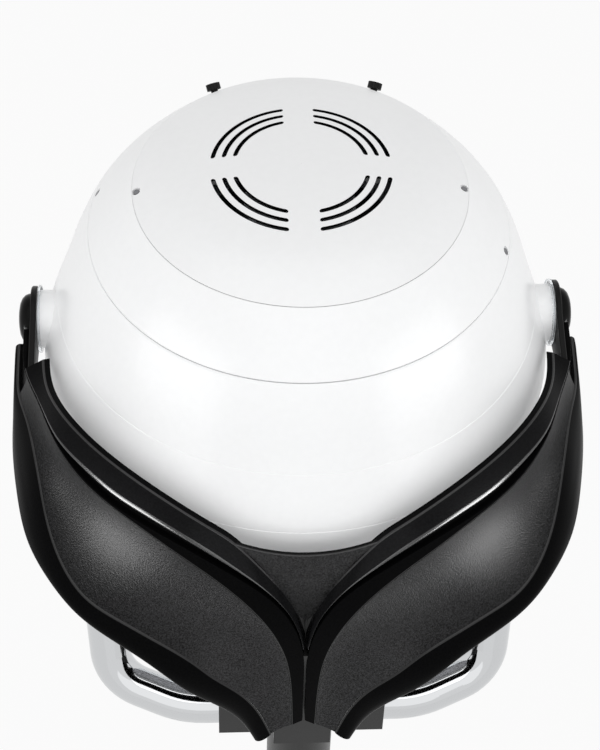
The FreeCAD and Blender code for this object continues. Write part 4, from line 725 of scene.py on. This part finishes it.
class DRYER_OT_fork(bpy.types.Operator):
    """Wings, leaf panels and inner arms on both sides, and the centre plate between them"""
    bl_idname = "dryer.fork"
    bl_label = "Fork"

    def execute(self, context):
        sizes = context.scene.dryer_sizes
        stations = self.stations(sizes)
        leaf_stations = stations[round(LEAF_START * sizes.span_steps):]
        for side, sign in SIDES.items():
            rows = self.placed(stations, sign, self.wing_row, sizes)
            tip = [(x, y - WING_TIP_REACH, z) for x, y, z in rows[0]]
            # Glossy wing corners wear the lighter edge finish, a painted highlight
            wing = add_piece(
                "wing_" + side, [tip] + rows, end_caps=True,
                polished_painted_highlight=corner_columns(WING_POLISHED_PAINTED_HIGHLIGHT, WING_CORNER_STEPS))
            dress(wing, "fork", "fork_wing_" + side, "fork_satin", "fork_satin", "fork_edge")
            leaf = add_piece(
                "leaf_" + side, self.placed(leaf_stations, sign, self.leaf_row, sizes), end_caps=True)
            dress(leaf, "fork", "leaf_panel_" + side, "leaf_grain", "leaf_grain")
            # Glossy arm corners wear the lighter edge finish, a painted highlight
            arm = add_piece(
                "arm_" + side, self.arm_rows(stations, sign, sizes), end_caps=True,
                polished_painted_highlight=corner_columns(ARM_POLISHED_PAINTED_HIGHLIGHT, ARM_CORNER_STEPS))
            dress(arm, "fork", "fork_arm_" + side, "fork_satin", "fork_satin", "fork_edge")
        # The plate's glossy top edge wears the lighter edge finish, a painted highlight
        plate = add_piece(
            "centre_plate", self.plate_rows(), end_caps=True,
            polished_painted_highlight=corner_columns(PLATE_POLISHED_PAINTED_HIGHLIGHT, PLATE_CORNER_STEPS))
        dress(plate, "fork", "fork_centre_plate", "leaf_grain", "leaf_grain", "fork_edge")
        return {"FINISHED"}

    def stations(self, sizes):
        """Finely spaced stations along the wing, each with its axes and widths."""
        ridges = np.array([station[0] for station in WING_STATIONS])
        edges = np.array([station[1] for station in WING_STATIONS])
        widths = np.array([station[2:] for station in WING_STATIONS])
        count = len(WING_STATIONS)
        runs = [np.array((0.0, 1.0, 0.0))]
        runs += [ridges[index + 1] - ridges[index - 1] for index in range(1, count - STRAIGHT_STATIONS)]
        runs += [np.array((0.0, 0.0, -1.0))] * STRAIGHT_STATIONS
        outwards = []
        for run, ridge, edge in zip(runs, ridges, edges):
            outward = np.cross(run, edge - ridge)
            outward /= np.linalg.norm(outward)
            outwards.append(outward if outward @ ridge > 0 else -outward)
        places = np.arange(count)
        wanted = np.linspace(0, count - 1, (count - 1) * sizes.span_steps + 1)
        fine = zip(wanted, *[spline(run, places, wanted) for run in (ridges, edges, outwards, widths)])
        result = []
        for place, ridge, edge, outward, section_widths in fine:
            across = edge - ridge
            reach = np.linalg.norm(across)
            across /= reach
            outward = outward - across * (outward @ across)
            outward /= np.linalg.norm(outward)
            result.append(Station(place, ridge, across, outward, reach, section_widths))
        return result

    def placed(self, stations, sign, section, sizes):
        """Rows of a piece in the row frame, mirrored for the right side."""
        rows = []
        for station in stations:
            rows.append([
                self.in_frame(station.ridge + station.across * along + station.outward * height, sign)
                for along, height in section(station, sizes)])
        return rows

    def in_frame(self, point, sign):
        """Point of the left half moved to the row frame, kept clear of the seam."""
        return (sign * max(point[0], SEAM_HALF) + PIVOT.x, point[1] + PIVOT.y, point[2] + PIVOT.z)

    def wing_row(self, station, sizes):
        """Section of the wing: groove, lip, seat of the leaf, rim and underside."""
        groove, lip, rim, dish = station.widths
        start = groove + lip
        stop = station.reach - rim
        floor = -sizes.ridge_depth
        under = -(dish + UNDERSIDE_DROP + sizes.wing_wall)
        corners = [(0.0, floor), (groove, floor + GROOVE_RISE), (groove, LIP_HEIGHT), (start, LIP_HEIGHT)]
        corners += [
            (start + share * (stop - start), SEAT_HEIGHT - dish * hollow(share)) for share in SEAT_SHARES]
        corners.append((stop, RIM_FOOT_HEIGHT))
        corners += [(stop + share * rim, height) for share, height in RIM_CROWN]
        corners += [(station.reach - inwards, height) for inwards, height in RIM_EDGE]
        corners += [(stop, under), (stop * UNDERSIDE_MIDDLE, under)]
        corners.append((groove + GROOVE_BACK_REACH, min(under, floor - GROOVE_BACK_DROP)))
        return rounded(corners, WING_RADII, WING_CORNER_STEPS)

    def leaf_row(self, station, sizes):
        """Section of the leaf panel: a hollowed face with thin rounded edges."""
        groove, lip, rim, dish = station.widths
        start = groove + lip
        stop = station.reach - rim
        face = []
        for share in np.linspace(0.0, 1.0, LEAF_STEPS + 1)[1:-1]:
            face.append((start + share * (stop - start), LEAF_HEIGHT - dish * hollow(share)))
        first_edge = [(start + inwards, height) for inwards, height in LEAF_EDGE]
        last_edge = [(stop - inwards, height) for inwards, height in LEAF_EDGE[::-1]]
        back = [(along, height - LEAF_THICKNESS) for along, height in face[::-1]]
        return first_edge + face + last_edge + back

    def arm_rows(self, stations, sign, sizes):
        """Rows of the inner arm, from its end by the pivot to the valley at the seam."""
        tops = [np.array(top) for top in ARM_TOP]
        end_stations = stations[(len(ARM_TOP) + 1) * sizes.span_steps::sizes.span_steps]
        for station, (along, height) in zip(end_stations, ARM_ENDS):
            tops.append(station.ridge + station.across * along + station.outward * height)
        fine = stations[sizes.span_steps:len(tops) * sizes.span_steps + 1]
        smooth_tops = spline(tops, np.arange(1, len(tops) + 1), [station.place for station in fine])
        rows = []
        for station, top in zip(fine, smooth_tops):
            low = station.ridge - station.outward * sizes.ridge_depth
            inner_low = station.ridge - station.outward * sizes.arm_depth
            inner_top = top - top / np.linalg.norm(top) * sizes.arm_wall
            share = np.clip((station.place - RIDGE_SOFT_START) / RIDGE_SOFT_SPAN, 0.0, 1.0)
            ridge_radius = ARM_RADIUS + RIDGE_SOFTNESS * math.sin(math.pi * share)
            section = rounded(
                [top, station.ridge, low, inner_low, inner_top],
                (ARM_TOP_RADIUS, ridge_radius, ARM_RADIUS, ARM_RADIUS, ARM_RADIUS), ARM_CORNER_STEPS)
            rows.append([self.in_frame(point, sign) for point in section])
        return rows

    def plate_rows(self):
        """Rows of the centre plate, whose lower border reaches under both arms."""
        places, depths, heights = np.array(PLATE_LOW).T
        back = np.array((-PLATE_THICKNESS, 0.0))
        rows = []
        for x in np.linspace(-places[-1], places[-1], PLATE_ROWS):
            share = 1.0 - (x / places[-1]) ** 2
            top = np.array(PLATE_TOP) + np.array(PLATE_TOP_BULGE) * share
            low = np.array((np.interp(abs(x), places, depths), np.interp(abs(x), places, heights)))
            low += PLATE_UNDER_ARMS
            section = rounded([top, low, low + back, top + back], PLATE_RADII, PLATE_CORNER_STEPS)
            rows.append([(PIVOT.x + x, PIVOT.y + y, PIVOT.z + z) for y, z in section])
        return rows


class DRYER_OT_pivots(bpy.types.Operator):
    """White bosses, black straps and glossy domes of the two side pivots"""
    bl_idname = "dryer.pivots"
    bl_label = "Side pivots"

    def execute(self, context):
        for side, sign in SIDES.items():
            boss = add_piece("boss_" + side, self.turned_rows(BOSS_OUTLINE, sign), closed_rows=True)
            dress(boss, "hood", "pivot_boss_" + side, "shell_white", "shell_white")
            dome = add_piece("dome_" + side, self.turned_rows(DOME_OUTLINE, sign), closed_rows=True)
            dress(dome, "fork", "pivot_cap_" + side, "cap_gloss", "cap_gloss")
            strap = add_piece("strap_plate_" + side, self.strap_rows(sign), end_caps=True)
            dress(strap, "fork", "strap_" + side, "strap_black", "strap_black")
        return {"FINISHED"}

    def turned_rows(self, outline, sign):
        """Rows of a piece turned about the tilt axis, from its run of X and radius."""
        rows = []
        for turn in full_turn(PIVOT_STEPS):
            y, z = math.cos(turn), math.sin(turn)
            rows.append([
                (PIVOT.x + sign * along, PIVOT.y + radius * y, PIVOT.z + radius * z)
                for along, radius in outline])
        return rows

    def strap_rows(self, sign):
        """Rows through the thickness of a strap, with both faces bevelled."""
        turns = np.linspace(*np.radians(STRAP_END_TURNS), STRAP_END_POINTS)
        round_end = np.column_stack([np.cos(turns), np.sin(turns)]) * STRAP_END_RADIUS
        tail = rounded(STRAP_TAIL, STRAP_TAIL_RADII, STRAP_CORNER_STEPS, closed=False)
        outline = np.vstack([round_end, tail])
        rows = []
        for along, inset in (
                (STRAP_START, STRAP_BEVEL), (STRAP_START + STRAP_BEVEL, 0.0), (STRAP_END - STRAP_BEVEL, 0.0),
                (STRAP_END, STRAP_BEVEL)):
            shrink = 1.0 - inset / STRAP_END_RADIUS
            rows.append([
                (PIVOT.x + sign * along, PIVOT.y + y * shrink, PIVOT.z + z * shrink) for y, z in outline])
        return rows


class DRYER_OT_carried_nodes(bpy.types.Operator):
    """Finishes of the pieces whose shape comes straight from the frame"""
    bl_idname = "dryer.carried_nodes"
    bl_label = "Finishes of carried pieces"

    def execute(self, context):
        record = frame["record"]
        slots = {part["node"]: part["material_slot"] for part in record["subparts"]}
        base_colours = {part["slot"]: part["base_color"][:3] for part in record["materials"]}
        for node, piece in frame["nodes"].items():
            slot = slots[node]
            name = CARRIED_FINISHES.get(slot, slot)
            if name in FINISHES:
                material = finish(name)
            else:
                colour = [value ** DISPLAY_GAMMA for value in base_colours[slot]]
                material = finish_material(name, colour, **PLAIN_FINISH)
            if not piece.material_slots:
                piece.data.materials.append(material)
            for material_slot in piece.material_slots:
                material_slot.material = material
        return {"FINISHED"}


class DRYER_OT_stage(bpy.types.Operator):
    """Pale floor, soft studio lights and the camera"""
    bl_idname = "dryer.stage"
    bl_label = "Stage and camera"

    def execute(self, context):
        self.floor()
        self.world(context)
        self.lamps(context)
        self.camera(context)
        return {"FINISHED"}

    def floor(self):
        """Pale floor that takes the object's shadow and shows as the background."""
        corners = [(x * FLOOR_REACH, y * FLOOR_REACH, 0.0) for x, y in ((-1, -1), (1, -1), (1, 1), (-1, 1))]
        ground = add_mesh("floor", corners, [(0, 1, 2, 3)], [0])
        material = bpy.data.materials.new("floor_pale")
        material.use_nodes = True
        tree = material.node_tree
        shader = tree.nodes["Principled BSDF"]
        shader.inputs["Base Color"].default_value = (FLOOR_GREY, FLOOR_GREY, FLOOR_GREY, 1.0)
        shader.inputs["Roughness"].default_value = FLOOR_ROUGHNESS
        glow = tree.nodes.new("ShaderNodeEmission")
        glow.inputs["Strength"].default_value = 1.0
        share = tree.nodes.new("ShaderNodeMath")
        share.operation = "MULTIPLY"
        share.inputs[1].default_value = FLOOR_GLOW
        tree.links.new(self.seen_rays(tree), share.inputs[0])
        self.blend(tree, share.outputs["Value"], shader.outputs["BSDF"], glow.outputs["Emission"],
                   tree.nodes["Material Output"])
        ground.data.materials[0] = material

    def world(self, context):
        """Soft light from all round, which the rays that show the background see as white."""
        world = bpy.data.worlds.new("studio")
        context.scene.world = world
        world.use_nodes = True
        tree = world.node_tree
        sky = tree.nodes["Background"]
        seen_sky = tree.nodes.new("ShaderNodeBackground")
        for background, strength in ((sky, WORLD_STRENGTH), (seen_sky, 1.0)):
            background.inputs["Color"].default_value = (1.0, 1.0, 1.0, 1.0)
            background.inputs["Strength"].default_value = strength
        self.blend(tree, self.seen_rays(tree), sky.outputs["Background"], seen_sky.outputs["Background"],
                   tree.nodes["World Output"])

    def blend(self, tree, share, first, second, output):
        """Mix two shaders by a share and let the output show them."""
        mix = tree.nodes.new("ShaderNodeMixShader")
        tree.links.new(share, mix.inputs["Fac"])
        tree.links.new(first, mix.inputs[1])
        tree.links.new(second, mix.inputs[2])
        tree.links.new(mix.outputs["Shader"], output.inputs["Surface"])

    def seen_rays(self, tree):
        """One for camera, glossy and transmission rays, which show the pale background."""
        rays = tree.nodes.new("ShaderNodeLightPath")
        seen = rays.outputs["Is Camera Ray"]
        for kind in ("Is Glossy Ray", "Is Transmission Ray"):
            either = tree.nodes.new("ShaderNodeMath")
            either.operation = "MAXIMUM"
            tree.links.new(seen, either.inputs[0])
            tree.links.new(rays.outputs[kind], either.inputs[1])
            seen = either.outputs["Value"]
        return seen

    def lamps(self, context):
        """Soft lamps that face the tilt axis, some for the shells or the fork alone."""
        lit = {name: self.gathered(name, pieces) for name, pieces in LIT_PIECES.items()}
        for name, place, width, power, pieces in LAMPS:
            light = bpy.data.lights.new(name, "AREA")
            light.size = width
            light.energy = power
            lamp = bpy.data.objects.new(name, light)
            lamp.location = place
            lamp.rotation_euler = (PIVOT - Vector(place)).to_track_quat("-Z", "Y").to_euler()
            if pieces:
                lamp.light_linking.receiver_collection = lit[pieces]
                lamp.light_linking.blocker_collection = lit[pieces]
            context.scene.collection.objects.link(lamp)

    def gathered(self, name, pieces):
        """Collection of the pieces that a lamp lights."""
        collection = bpy.data.collections.new(name)
        for piece in pieces:
            collection.objects.link(bpy.data.objects[piece])
        return collection

    def camera(self, context):
        """Camera behind and above the hood, as the photograph has it."""
        away = Vector((
            math.sin(CAMERA_YAW) * math.cos(CAMERA_ELEVATION),
            math.cos(CAMERA_YAW) * math.cos(CAMERA_ELEVATION),
            math.sin(CAMERA_ELEVATION)))
        right = Vector((0.0, 0.0, 1.0)).cross(away).normalized()
        up = away.cross(right)
        rolled_right = right * math.cos(CAMERA_ROLL) + up * math.sin(CAMERA_ROLL)
        rolled_up = up * math.cos(CAMERA_ROLL) - right * math.sin(CAMERA_ROLL)
        eye = PIVOT + Vector((0.0, 0.0, CAMERA_RISE)) + away * CAMERA_DISTANCE
        data = bpy.data.cameras.new("camera")
        data.sensor_width = SENSOR_WIDTH
        data.lens = FOCAL_PIXELS / PICTURE_HEIGHT * SENSOR_WIDTH
        data.shift_x = (PICTURE_WIDTH / 2 - CENTRE_PIXEL[0]) / PICTURE_HEIGHT
        data.shift_y = (CENTRE_PIXEL[1] - PICTURE_HEIGHT / 2) / PICTURE_HEIGHT
        camera = bpy.data.objects.new("camera", data)
        axes = Matrix((rolled_right, rolled_up, away)).transposed()
        camera.matrix_world = Matrix.Translation(eye) @ axes.to_4x4()
        context.scene.collection.objects.link(camera)
        context.scene.camera = camera


class DRYER_PT_panel(bpy.types.Panel):
    """Sidebar panel with the sizes, the colours and the operators"""
    bl_label = "Hood hair dryer"
    bl_idname = "DRYER_PT_panel"
    bl_space_type = "VIEW_3D"
    bl_region_type = "UI"
    bl_category = "Dryer"

    def draw(self, context):
        """Show every size and colour, and a button for each operator."""
        for group in (context.scene.dryer_sizes, context.scene.dryer_colours):
            box = self.layout.box()
            for name in group.__annotations__:
                box.prop(group, name)
        for operator in OPERATORS:
            self.layout.operator(operator.bl_idname)


OPERATORS = (
    DRYER_OT_carried_nodes, DRYER_OT_shells, DRYER_OT_cap, DRYER_OT_fork, DRYER_OT_pivots, DRYER_OT_stage)
CLASSES = (DryerSizes, DryerColours) + OPERATORS + (DRYER_PT_panel,)


def register():
    """Make the classes and both groups of settings known to Blender."""
    for item in CLASSES:
        bpy.utils.register_class(item)
    bpy.types.Scene.dryer_sizes = PointerProperty(type=DryerSizes)
    bpy.types.Scene.dryer_colours = PointerProperty(type=DryerColours)


def unregister():
    """Take the settings and the classes away again."""
    del bpy.types.Scene.dryer_colours
    del bpy.types.Scene.dryer_sizes
    for item in reversed(CLASSES):
        bpy.utils.unregister_class(item)


def main():
    """Build every piece in order."""
    register()
    bpy.context.scene.view_settings.view_transform = "Standard"
    bpy.ops.dryer.carried_nodes()
    bpy.ops.dryer.shells()
    bpy.ops.dryer.cap()
    bpy.ops.dryer.fork()
    bpy.ops.dryer.pivots()
    bpy.ops.dryer.stage()


if __name__ == "__main__":
    main()
